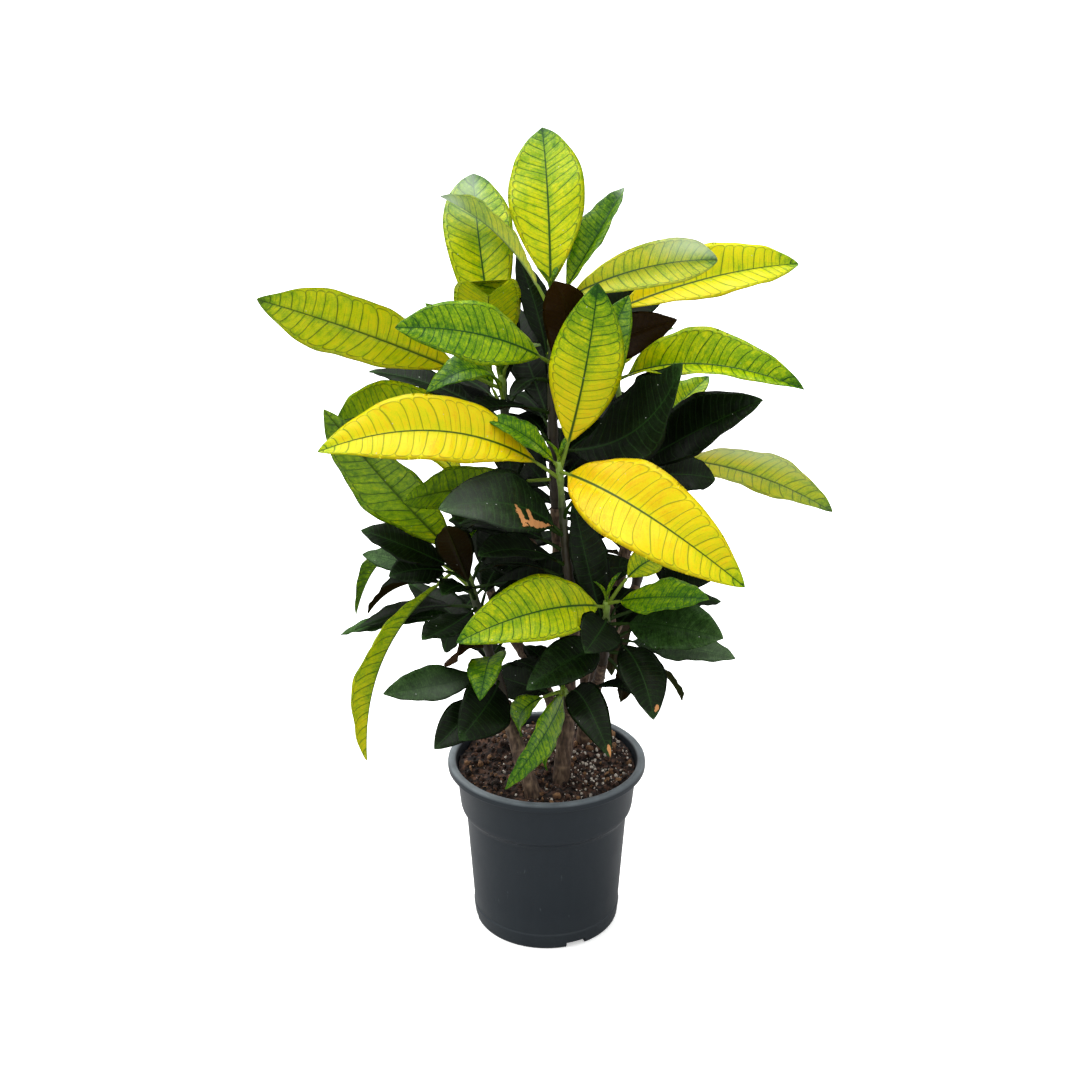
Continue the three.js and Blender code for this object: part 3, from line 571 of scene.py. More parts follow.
# A leaf states the height it grows from, its tip, its width, how far it arches and sways, its roll
# and the fold of its halves in degrees, its stalk's length, where it is widest and its look.
SHOOTS = {
    "top": {
        "axis": [(9, 0, 470), (6, 0, 540), (4, 0, 620), (3, 0, 690)],
        "split": 612,
        "leaves": [
            (672, (-5, 95, 830), 80, 15, -5, 15, 20, 20, 0.55, "mottled"),
            (672, (160, -5, 720), 60, 36, 10, -75, 45, 24, 0.66, "pale"),
            (668, (-105, 85, 765), 54, 15, 5, -40, 35, 30, 0.55, "mottled"),
            (665, (75, 75, 775), 48, 5, -5, -5, 40, 30, 0.5, "green"),
            (640, (250, 75, 700), 70, 25, 0, -40, 30, 70, 0.55, "yellow"),
            (618, (-140, -70, 670), 66, 15, -5, 55, 15, 15, 0.5, "grass"),
            (604, (117, 90, 663), 52, 20, 10, -45, 35, 30, 0.55, "dark"),
            (596, (-30, 70, 710), 34, 10, 0, 0, 20, 30, 0.5, "dark"),
            (600, (125, 5, 660), 44, 15, -5, 90, 5, 30, 0.5, "brown"),
            (586, (6, -60, 711), 48, 9, 15, -8, 25, 15, 0.6, "brown"),
            (530, (123, -85, 641), 96, -20, -20, -56, 18, 20, 0.55, "dark"),
            (500, (-132, -130, 523), 48, 15, -5, -75, 20, 30, 0.55, "grass"),
            (485, (-26, 66, 508), 42, 6, 0, 60, 15, 12, 0.5, "dark"),
            (552, (-41, 130, 651), 45, 10, 0, 30, 20, 20, 0.5, "dark"),
        ],
    },
    "upper_left": {
        "axis": [(-36, 27, 500), (-42, 26, 560), (-45, 25, 600)],
        "split": 578,
        "leaves": [
            (590, (-75, 142, 779), 76, 25, 5, 10, 25, 30, 0.65, "mottled"),
            (587, (-55, -10, 695), 80, 12, -5, -20, 35, 20, 0.65, "pale"),
            (585, (-270, -40, 690), 76, 9, 0, -65, 10, 45, 0.6, "sunny"),
            (556, (-121, 60, 664), 42, 8, -5, 20, 25, 30, 0.5, "green"),
            (562, (-61, 85, 703), 38, 8, -5, -10, 25, 30, 0.5, "dark"),
            (565, (-115, -40, 600), 42, 35, -5, 25, 20, 15, 0.55, "green"),
            (552, (-195, -85, 585), 68, 35, 0, -90, 25, 30, 0.55, "lime"),
            (545, (-180, 55, 595), 42, 15, 0, 15, 20, 30, 0.5, "dark"),
        ],
    },
    "front": {
        "axis": [(26, -58, 380), (20, -60, 430), (17, -60, 460), (11, -60, 538)],
        "split": 510,
        "leaves": [
            (532, (78, 4, 684), 57, 5, 0, -20, 20, 30, 0.5, "grass"),
            (530, (-60, -70, 585), 34, 10, 0, 30, 20, 10, 0.5, "green"),
            (528, (46, -54, 708), 69, 5, -5, -72, 5, 30, 0.5, "greening"),
            (528, (175, -195, 465), 88, 40, 0, -45, 25, 14, 0.45, "golden"),
            (520, (-210, -115, 565), 76, 30, -20, 45, 20, 28, 0.5, "lemon"),
            (460, (-100, -130, 515), 70, 20, -10, 45, 20, 20, 0.45, "deep"),
            (430, (-65, -120, 465), 52, 10, -5, 15, 20, 15, 0.5, "dark"),
        ],
    },
    "left": {
        "axis": [(-43, -48, 277), (-52, -43, 310), (-60, -38, 335), (-70, -31, 375), (-84, -20, 424)],
        "split": 412,
        "leaves": [
            (420, (-205, -95, 600), 76, -5, 0, -40, 0, 25, 0.45, "grass"),
            (418, (-183, -70, 222), 56, 32, 0, -32, 50, 30, 0.62, "turning"),
            (404, (-182, -45, 463), 50, 10, 5, 30, 20, 30, 0.5, "dark"),
            (388, (-190, 25, 410), 36, 12, 0, 30, 20, 30, 0.5, "grey"),
            (400, (-155, -60, 420), 44, 10, -5, 35, 20, 30, 0.5, "dark"),
            (392, (-203, 55, 329), 36, 55, 0, -5, 40, 30, 0.5, "green"),
            (388, (-185, 10, 350), 36, 25, 0, 5, 40, 30, 0.5, "dark"),
            (375, (-199, 7, 333), 40, 5, -10, 10, 20, 30, 0.5, "dark"),
            (375, (-120, -110, 375), 50, 0, 5, 0, 15, 15, 0.5, "dark"),
            (365, (-218, 35, 314), 40, 10, 0, 15, 20, 30, 0.5, "grey"),
            (335, (-88, -84, 340), 48, 12, -5, -60, 20, 12, 0.5, "brown"),
            (318, (-65, -120, 315), 44, 20, 10, -20, 20, 10, 0.5, "green"),
            (310, (-160, -105, 315), 44, 5, 5, 35, 25, 25, 0.5, "grey"),
            (300, (-85, -135, 280), 60, 15, 0, 45, 20, 15, 0.5, "dark"),
            (290, (-110, -125, 265), 42, 15, 0, 35, 20, 30, 0.5, "dark"),
            (320, (-149, 91, 350), 47, 10, 0, 0, 20, 20, 0.5, "dark"),
            (387, (-95, -105, 489), 39, 10, 0, -30, 20, 20, 0.5, "dark"),
            (394, (93, -22, 417), 48, 10, 0, -60, 20, 20, 0.5, "dark"),
        ],
    },
    "right": {
        "axis": [(84, 14, 440), (80, 20, 500), (76, 20, 540), (68, 20, 602)],
        "split": 508,
        "leaves": [
            (596, (235, -90, 617), 77, 25, 5, -40, 45, 14, 0.42, "lime"),
            (525, (165, 75, 585), 44, 5, -5, -20, 30, 20, 0.55, "lime"),
            (515, (300, 70, 440), 64, 20, -5, 55, 20, 60, 0.5, "sunny"),
            (500, (200, -75, 603), 74, 6, 0, -58, 30, 30, 0.45, "dark"),
            (490, (171, 30, 490), 50, 10, 0, -35, 20, 30, 0.5, "dark"),
            (492, (143, 2, 560), 36, 0, 0, -40, 20, 20, 0.55, "dark"),
        ],
    },
    # This shoot's leaves have greener, darker looks: their own colour, and partly painted shade under
    # the leaves above.
    "low_right": {
        "axis": [(56, -44, 320), (57, -52, 340), (58, -62, 365), (58, -70, 398)],
        "split": 384,
        "leaves": [
            (395, (150, -140, 430), 50, 5, 0, -25, 15, 18, 0.45, "green"),
            (391, (-85, -150, 390), 73, 20, -5, 45, 25, 12, 0.4, "olive"),
            (391, (115, -25, 425), 32, 25, 5, -40, 15, 28, 0.5, "olive"),
            (358, (25, -45, 495), 48, 5, 5, 30, 25, 12, 0.5, "dark"),
            (376, (35, -140, 375), 50, 10, 0, 35, 20, 15, 0.5, "dark"),
            (375, (175, -30, 380), 44, 10, 0, -10, 20, 30, 0.5, "dark"),
            (370, (165, -140, 390), 64, 10, 0, -35, 20, 30, 0.5, "grey"),
            (355, (100, -160, 315), 48, 20, 5, -5, 20, 30, 0.5, "dark"),
            (350, (180, -120, 360), 48, 5, 0, -15, 15, 30, 0.5, "grey"),
            (335, (140, -20, 265), 36, 15, -5, 5, 20, 30, 0.5, "grey"),
            (330, (75, -40, 273), 28, 10, 0, 10, 20, 30, 0.5, "dark"),
            (345, (-20, -135, 334), 50, 12, 0, 35, 20, 12, 0.42, "deep"),
        ],
    },
    # This shoot's leaves have greener, darker looks: their own colour, and partly painted shade under
    # the leaves above.
    "low_front": {
        "axis": [(22, -40, 270), (20, -60, 290), (16, -70, 303)],
        "split": 295,
        "leaves": [
            (300, (-40, -185, 255), 44, 15, -10, 80, 15, 10, 0.4, "green"),
            (300, (-25, -60, 245), 36, 25, 0, 40, 25, 15, 0.5, "green"),
            (300, (0, -80, 216), 32, 10, 0, -15, 20, 12, 0.5, "green"),
            (276, (60, -160, 275), 42, 35, 15, -35, 25, 30, 0.5, "dark"),
            (286, (-52, 18, 275), 40, 10, 0, 60, 20, 20, 0.5, "dark"),
        ],
    },
    "back": {"axis": [(35, 95, 400), (30, 105, 480), (25, 112, 560)], "split": 500, "leaves": []},
    "back_left": {
        "axis": [(-60, 70, 350), (-68, 84, 400), (-75, 95, 450)],
        "split": 410,
        "leaves": [
            (359, (-113, 104, 263), 54, 10, 0, 60, 20, 20, 0.5, "dark"),
        ],
    },
    "back_right": {
        "axis": [(95, 70, 355), (106, 84, 400), (115, 95, 450)],
        "split": 410,
        "leaves": [
            (364, (74, 129, 221), 45, 10, 0, 0, 20, 20, 0.5, "dark"),
            (377, (175, 25, 384), 48, 10, 0, -60, 20, 20, 0.5, "dark"),
        ],
    },
}
# How green a leaf is at its base and at its tip. A young one goes from 0, golden, to 1, deep
# green, and an old one from 0, nearly black, to 1, green.
LOOKS = {
    "lemon": (0.14, 0.22),
    "golden": (0.03, 0.26),
    "yellow": (0.18, 0.4),
    "olive": (0.42, 0.56),
    "pale": (0.34, 0.44),
    "mottled": (0.34, 0.6),
    "greening": (0.16, 0.72),
    "lime": (0.42, 0.6),
    "sunny": (0.28, 0.46),
    "turning": (0.54, 0.3),
    "grass": (0.56, 0.74),
    "green": (0.62, 0.82),
    "deep": (0.34, 0.44),
    "dark": (0.2, 0.3),
    # The grey look is a lighter green standing for the sheen on old leaves: painted sheen.
    "grey": (0.5, 0.66),
    "brown": (0.1, 0.2),
}
OLD_LOOKS = ("dark", "deep", "grey", "brown")


def axis_point(axis, z):
    """The point of a shoot's axis at a height."""
    i = max(1, next((i for i, p in enumerate(axis) if p[2] >= z), -1))
    start, end = np.array(axis[i - 1], float), np.array(axis[i], float)
    return start + (end - start) * (z - start[2]) / (end[2] - start[2])


def unit(vectors):
    return vectors / np.linalg.norm(vectors, axis=-1, keepdims=True)


def blade_outline(share, widest, bluntness=1):
    """Half of the blade's width at a share of its length, as a share of its widest."""
    near = np.sin(math.pi / 2 * np.minimum(share / widest, 1)) ** 0.9
    far = np.maximum(0, np.cos(math.pi / 2 * np.clip((share - widest) / (1 - widest), 0, 1)))
    far = far ** (0.8 * bluntness)
    return np.where(share < widest, near, far)


class Leaf:
    """A leaf's shape: a midrib that arches from its base to its tip, and a folded, curled blade."""

    def __init__(self, base, row):
        self.base = base
        self.end = np.array(row[1], float)
        self.width, arch, sway, roll, fold, stalk, self.widest = row[2:9]
        along = self.end - base
        self.length = np.linalg.norm(along)
        along /= self.length
        up = unit(np.array([0, 0, 1.0]) - along * along[2])
        side = np.cross(up, along)
        turn = math.radians(roll)
        face = up * math.cos(turn) + side * math.sin(turn)
        self.left = side * math.cos(turn) - up * math.sin(turn)
        lift = face * (arch * 4 / 3) + self.left * (sway * 4 / 3)
        self.near = base + along * self.length / 3 + lift
        self.far = base + along * self.length * 2 / 3 + lift
        self.start = min(stalk / self.length, 0.4)
        self.slope = math.radians(fold)
        self.bluntness = 1

    def at(self, t):
        """The midrib's point at a share of it, and the blade's directions across and above."""
        t = np.asarray(t, float)[..., None]
        point = (1 - t) ** 3 * self.base + 3 * (1 - t) ** 2 * t * self.near
        point = point + 3 * (1 - t) * t**2 * self.far + t**3 * self.end
        tangent = (1 - t) ** 2 * (self.near - self.base) + 2 * (1 - t) * t * (self.far - self.near)
        tangent = unit(tangent + t**2 * (self.end - self.far))
        across = unit(self.left - tangent * (tangent @ self.left)[..., None])
        return point, across, np.cross(tangent, across)

    def surface(self, share, cross, raised=0.0):
        """The blade at a share of its length and from margin, -1, across to margin, 1."""
        point, across, above = self.at(self.start + (1 - self.start) * share)
        half = self.width / 2 * blade_outline(share, self.widest, self.bluntness)
        wave = MARGIN_WAVE * np.sin(2 * math.pi * MARGIN_WAVES * share + self.base[2] + cross)
        rise = half * (np.abs(cross) * math.sin(self.slope) + (wave - CURL) * cross**2) + raised
        out = cross * half * math.cos(self.slope)
        return point + across * out[..., None] + above * rise[..., None]


# Leaves of the far side. They grow round each shoot by the golden angle, and each takes the first
# place where it stays in the crown and is clear of every other leaf and stem. Each try turns it on
# and makes it a share smaller.
CLEAR = 8.5
TRIES = 30
TRY_TURN = 31
SHRINK = 0.02
# A leaf may come this near to others and to wood where it starts from its own shoot.
LEAF_FOOT = 14
WOOD_FOOT = 24
# No hidden leaf reaches farther than this from its base.
NEAR = 230
CROWN = {"side": 170, "front": -120, "back": 240}
YOUNG_LEAF = {"length": 150, "rise": 34, "width": 0.38}
OLD_LEAF = {"length": 135, "rise": 14, "width": 0.4}
# So many young and old leaves on a shoot, the first of them heading its turn in degrees.
HIDDEN = {
    "top": (0, 12, 140),
    "upper_left": (2, 8, 180),
    "front": (0, 7, 60),
    "left": (0, 8, 70),
    "right": (0, 9, 100),
    "low_right": (0, 8, 220),
    "low_front": (0, 2, 60),
    "back": (5, 9, 260),
    "back_left": (4, 5, 200),
    "back_right": (4, 5, 20),
}


def draw(seed):
    """A seeded draw between 0 and 1."""
    value = math.sin(seed * 12.9898) * 43758.5453
    return value - math.floor(value)


def blade_points(base, row):
    """Points spread over a leaf, to judge how close another comes."""
    leaf = Leaf(base, row)
    share, cross = np.meshgrid(np.arange(13) / 12, [-0.9, -0.45, 0, 0.45, 0.9], indexing="ij")
    blade = leaf.surface(share, cross).reshape(-1, 3)
    foot = leaf.surface(np.array(0.0), np.array(0.0))
    return np.concatenate([blade, [base + (foot - base) * s for s in (0.25, 0.5, 0.75)]])


def wood_points():
    """Points along every stem and shoot."""
    lines = [route for stem in STEMS.values() for route in stem["routes"]]
    lines += [shoot["axis"] for shoot in SHOOTS.values()]
    points = []
    for line in lines:
        for start, end in zip(np.array(line[:-1], float), np.array(line[1:], float)):
            steps = math.ceil(np.linalg.norm(end - start) / 8)
            points += [start + (end - start) * k / steps for k in range(steps)]
    return np.array(points)


def is_clear(points, others):
    """Whether every point stays clear of the others."""
    gaps = points[:, None, :] - others[None, :, :]
    return (gaps * gaps).sum(-1).min() > CLEAR**2 if len(points) else True


def hidden_leaf(z, base, kind, heading, seed, size):
    """One try at a hidden leaf, with its small differences."""
    rise = math.radians(kind["rise"] + 36 * (draw(seed) - 0.5))
    length = size * kind["length"] * (0.85 + 0.3 * draw(seed + 0.3))
    turned_to = math.radians(heading)
    reach = length * math.cos(rise)
    tip = base + [reach * math.cos(turned_to), reach * math.sin(turned_to), length * math.sin(rise)]
    roll = 30 * (draw(seed + 0.6) - 0.5)
    arch = 10 + 12 * draw(seed + 0.9)
    return z, tip, length * kind["width"], arch, 0, roll, 20, 26, 0.5


def grow_hidden():
    """The rows of the far side's leaves, by shoot."""
    blades = np.concatenate(
        [
            blade_points(axis_point(shoot["axis"], row[0]), row)
            for shoot in SHOOTS.values()
            for row in shoot["leaves"]
        ]
    )
    wood = wood_points()
    grown = {name: [] for name in SHOOTS}
    seed = 0
    for name, (young, old, turn) in HIDDEN.items():
        axis, split = SHOOTS[name]["axis"], SHOOTS[name]["split"]
        for k in range(young + old):
            is_young = k < young
            low = split + 6 if is_young else axis[0][2] + 8
            high = axis[-1][2] - 4 if is_young else split - 8
            share = (k + 0.5) / young if is_young else (k - young + 0.5) / old
            z = high - (high - low) * share
            base = axis_point(axis, z)
            kind = YOUNG_LEAF if is_young else OLD_LEAF
            near = blades[np.linalg.norm(blades - base, axis=1) < NEAR]
            near_wood = wood[np.linalg.norm(wood - base, axis=1) < NEAR]
            for attempt in range(TRIES):
                seed += 1
                heading = turn + GOLDEN_ANGLE * k + TRY_TURN * attempt
                row = hidden_leaf(z, base, kind, heading, seed, 1 - SHRINK * attempt)
                x, y = row[1][:2]
                if abs(x) >= CROWN["side"] or y <= CROWN["front"] or y >= CROWN["back"]:
                    continue
                points = blade_points(base, row)
                away = np.linalg.norm(points - base, axis=1)
                blade, rest = points[away > LEAF_FOOT], points[away > WOOD_FOOT]
                if is_clear(blade, near) and is_clear(rest, near_wood):
                    look = ("yellow", "lime", "mottled", "grass")[seed % 4] if is_young else "dark"
                    grown[name].append((*row, look))
                    blades = np.concatenate([blades, points])
                    break
    return grown


# The leaves' skin. A croton leaf is leathery and waxed, lit through when young. Green veins run
# from the midrib towards the margin and loop into one another before it, round puffed cells 5 to
# 12 mm wide. Old leaves turn nearly black, with a brown underside.
# GLARE is a painted highlight and sheen, laid pale over leaves where light glances off the wax.
GLARE = "dfeedd"
DEAD_TISSUE = "b98252"
DRIED_DROP = "c9cfc9"
# A skin's shades go from the least green to the greenest. Its veins and its underside have a
# colour and a strength. Glow is the share of light that comes through it, and sheen the share
# that only its wax throws back.
SKINS = {
    "leaf_young_waxed": {
        "shades": ("e9bf00", "efde06", "d4da00", "93b804", "518602", "205405"),
        "vein": ("1c4d05", 0.34),
        "under": ("a9b83c", 0.15),
        "stalk": "86a036",
        "specular": 0.28,
        "roughness": 0.36,
        "glow": 0.36,
    },
    "leaf_old_leathery": {
        "shades": ("030502", "060e02", "0f1d08", "213a15", "385528", "587540"),
        "vein": ("1c3612", 0.35),
        "under": ("2a1906", 0.6),
        "stalk": "22360f",
        "specular": 0,
        "roughness": 0.34,
        "sheen": 0.01,
    },
}


def leaf_skin(name):
    """The waxed skin of a leaf, veined by the values that its mesh carries."""
    made, tree, where = new_material(name)
    skin = SKINS[name]
    phase, reach, rib, green, stalk, under, dead, glare = (
        add(tree, "Attribute", {}, attribute_name=key).outputs["Fac"]
        for key in ("vein", "reach", "rib", "green", "stalk", "under", "dead", "glare")
    )

    # The gap to the nearest side vein goes from 0 to 0.5 of a cell. A cell ends at 0.88 of the way
    # to the margin, and sooner beside its veins, where they loop over to the next.
    gap = add(tree, "Math", {0: phase, 1: 0.5}, operation="PINGPONG")
    bend = add(tree, "Math", {0: gap, 1: -2, 2: 1}, operation="MULTIPLY_ADD")
    bend = add(tree, "Math", {0: bend, 1: 4}, operation="POWER")
    ends = add(tree, "Math", {0: bend, 1: -0.11, 2: 0.88}, operation="MULTIPLY_ADD")
    inside = add(tree, "Math", {0: reach, 1: ends}, operation="LESS_THAN")
    off = add(tree, "Math", {0: reach, 1: ends}, operation="SUBTRACT")
    off = add(tree, "Math", {0: off}, operation="ABSOLUTE")
    # Lines that fade from their middles: the side veins, the loops, a fainter vein halfway between
    # two side veins over the inner part of the blade, and the midrib.
    lines = []
    for pattern, near, far, at_near, at_far in (
        (gap, 0.02, 0.052, 1, 0),
        (off, 0.008, 0.025, 0.8, 0),
        (gap, 0.47, 0.49, 0, 0.45),
        (reach, 0.35, 0.6, 1, 0),
        (rib, 0.5, 0.95, 1, 0),
    ):
        fading = {"From Min": near, "From Max": far, "To Min": at_near, "To Max": at_far}
        lines.append(add(tree, "MapRange", {"Value": pattern, **fading}))
    line, loop, halfway, inner, midrib = lines
    side_vein = add(tree, "Math", {0: line, 1: inside}, operation="MULTIPLY")
    faint = add(tree, "Math", {0: halfway, 1: inner}, operation="MULTIPLY")
    fine = add(tree, "Math", {0: side_vein, 1: loop}, operation="MAXIMUM")
    fine = add(tree, "Math", {0: fine, 1: faint}, operation="MAXIMUM")
    veins = add(tree, "Math", {0: fine, 1: midrib}, operation="MAXIMUM")
    depth = add(tree, "Math", {0: green, 1: 1.1, 2: skin["vein"][1]}, operation="MULTIPLY_ADD")
    drawn = add(tree, "Math", {0: fine, 1: depth}, operation="MULTIPLY")
    stripe = add(tree, "Math", {0: midrib, 1: 0.93}, operation="MULTIPLY")
    inked = add(tree, "Math", {0: drawn, 1: stripe}, operation="MAXIMUM")

    # What shifts the green: a net inside the cells, 2.5 mm wide, a darker band beside each vein
    # and the midrib, blotches of 14 mm, streaks about 2 mm wide towards the margin, and specks.
    net = add(tree, "TexVoronoi", {"Vector": where, "Scale": 1 / 0.0025}, feature="DISTANCE_TO_EDGE")
    shifts = []
    for pattern, width, most in ((net, 0.12, 0.09), (gap, 0.22, 0.07), (reach, 0.25, 0.09)):
        fading = {"Value": pattern, "From Max": width, "To Min": most, "To Max": 0}
        shifts.append(add(tree, "MapRange", fading))
    spot = add(tree, "CombineXYZ", {"X": phase, "Y": reach, "Z": green})
    spot = add(tree, "VectorMath", {0: spot, 1: (6, 2.2, 9)}, operation="MULTIPLY")
    streak = add(tree, "TexNoise", {"Vector": spot, "Scale": 1, "Detail": 3})
    blotch = add(tree, "TexNoise", {"Vector": where, "Scale": 1 / 0.014, "Detail": 5})
    speck = add(tree, "TexNoise", {"Vector": where, "Scale": 1 / 0.0045, "Detail": 4, "Roughness": 0.7})
    for pattern, most in ((blotch, 0.08), (streak, 0.07), (speck, 0.21)):
        cloudy = {"Value": pattern, "From Min": 0.3, "From Max": 0.7, "To Min": -most, "To Max": most}
        shifts.append(add(tree, "MapRange", cloudy))
    shifts[-1] = add(tree, "Math", {0: shifts[-1], 1: green}, operation="MULTIPLY")
    tone = green
    for shift in shifts:
        tone = add(tree, "Math", {0: tone, 1: shift}, operation="ADD")
    shades = skin["shades"]
    colour = add(tree, "ValToRGB", {"Fac": tone}, zip(np.linspace(0, 1, len(shades)), shades))

    # Over it lie the veins, the stalk, the underside, painted glare, torn brown places and dried drops.
    below = add(tree, "Math", {0: under, 1: skin["under"][1]}, operation="MULTIPLY")
    fleck = add(tree, "TexNoise", {"Vector": where, "Scale": 1 / 0.004, "Detail": 6})
    torn = add(tree, "Math", {0: dead, 1: fleck}, operation="ADD")
    torn = add(tree, "MapRange", {"Value": torn, "From Min": 0.93, "From Max": 1})
    drops = add(tree, "TexVoronoi", {"Vector": where, "Scale": 1 / 0.014})
    rim = {"From Min": 0.03, "From Max": 0.05, "To Min": 0.7, "To Max": 0}
    drops = add(tree, "MapRange", {"Value": drops, **rim})
    for share, shade in (
        (inked, skin["vein"][0]),
        (stalk, skin["stalk"]),
        (below, skin["under"][0]),
        (glare, GLARE),
        (torn, DEAD_TISSUE),
        (drops, DRIED_DROP),
    ):
        colour = add(tree, "Mix", {0: share, 6: colour, 7: linear(shade)}, data_type="RGBA")

    # The wax is smoother in some places than in others. Veins are sunk and cells stand up.
    matt = skin["roughness"]
    wax = add(tree, "TexNoise", {"Vector": where, "Scale": 1 / 0.02, "Detail": 3})
    rough = add(tree, "MapRange", {"Value": wax, "To Min": matt - 0.1, "To Max": matt + 0.12})
    height = add(tree, "Math", {0: veins, 1: -1}, operation="MULTIPLY")
    height = add(tree, "Math", {0: net, 1: 0.35, 2: height}, operation="MULTIPLY_ADD")
    height = add(tree, "Math", {0: streak, 1: 0.9, 2: height}, operation="MULTIPLY_ADD")
    bump = add(tree, "Bump", {"Height": height, "Strength": 0.55, "Distance": 0.0005})
    relief = {"Roughness": rough, "Normal": bump}
    waxed = {"Base Color": colour, "IOR": 1.45, "Specular IOR Level": skin["specular"], **relief}
    waxed = add(tree, "BsdfPrincipled", waxed)
    if "glow" in skin:
        other = add(tree, "BsdfTranslucent", {"Color": colour})
    else:
        other = add(tree, "BsdfGlossy", {"Color": (1, 1, 1, 1), **relief})
    share = skin.get("glow", skin.get("sheen"))
    both = add(tree, "MixShader", {0: share, 1: waxed, 2: other})
    add(tree, "OutputMaterial", {"Surface": both})
    return made


young_skin = leaf_skin("leaf_young_waxed")
old_skin = leaf_skin("leaf_old_leathery")


# The leaves. Each is one thin closed blade on a round stalk, with its midrib standing out below,
# its cells puffed up between the veins and its margin waved. Far ones are drawn coarser.
BLADE = 0.6
# How far the midrib stands out and the radius of the stalk, at the near end and at the far one.
RIB = (1.9, 0.5)
STALK = (2.1, 1.5)
# A cell's width is a share of the blade's length, within limits. It puffs up by a share of the
# blade's width.
CELL = 0.06
CELL_RANGE = (5, 12)
PUFF = 0.014
# The places where a leaf in the photograph is torn, is spotted, or has glare painted on it as a
# highlight or sheen. A mark is of a kind and a strength, at a share of the blade and a place
# across it, and so long and so wide.
MARKS = {
    ("front", 5): [
        ("dead", 1, 0.22, 0.62, 0.2, 0.2),
        ("dead", 1, 0.4, 0.35, 0.03, 0.45),
        ("dead", 1, 0.3, 0.3, 0.025, 0.45),
        ("glare", 0.06, 0.85, 0.0, 0.25, 1.5),
    ],
    ("low_right", 7): [("dead", 1, 0.9, 0.5, 0.035, 0.25)],
    ("low_right", 8): [("glare", 0.03, 0.5, 0, 2, 3)],
    ("left", 7): [("dead", 1, 0.5, 0.3, 0.03, 0.1)],
    ("left", 12): [("glare", 0.08, 0.4, 0.5, 0.35, 0.8)],
    ("low_front", 3): [("dead", 1, 0.97, 0.4, 0.06, 0.5)],
    ("top", 1): [("glare", 0.7, 0.82, 0.7, 0.22, 0.6), ("glare", 0.08, 0.5, 0, 2, 3)],
    ("top", 2): [("glare", 0.7, 0.95, 0, 0.17, 1.2), ("glare", 0.12, 0.5, 0, 2, 3)],
    ("top", 3): [("glare", 0.5, 1.0, 0, 0.08, 1)],
    ("upper_left", 0): [("glare", 0.5, 0.9, 0.3, 0.18, 0.7)],
    ("right", 2): [("glare", 0.5, 0.35, -0.9, 0.4, 0.5), ("glare", 0.06, 0.5, 0, 2, 3)],
}
# How far the end of a blade is notched, as a share of its length.
NOTCHES = {("upper_left", 1): 0.13}


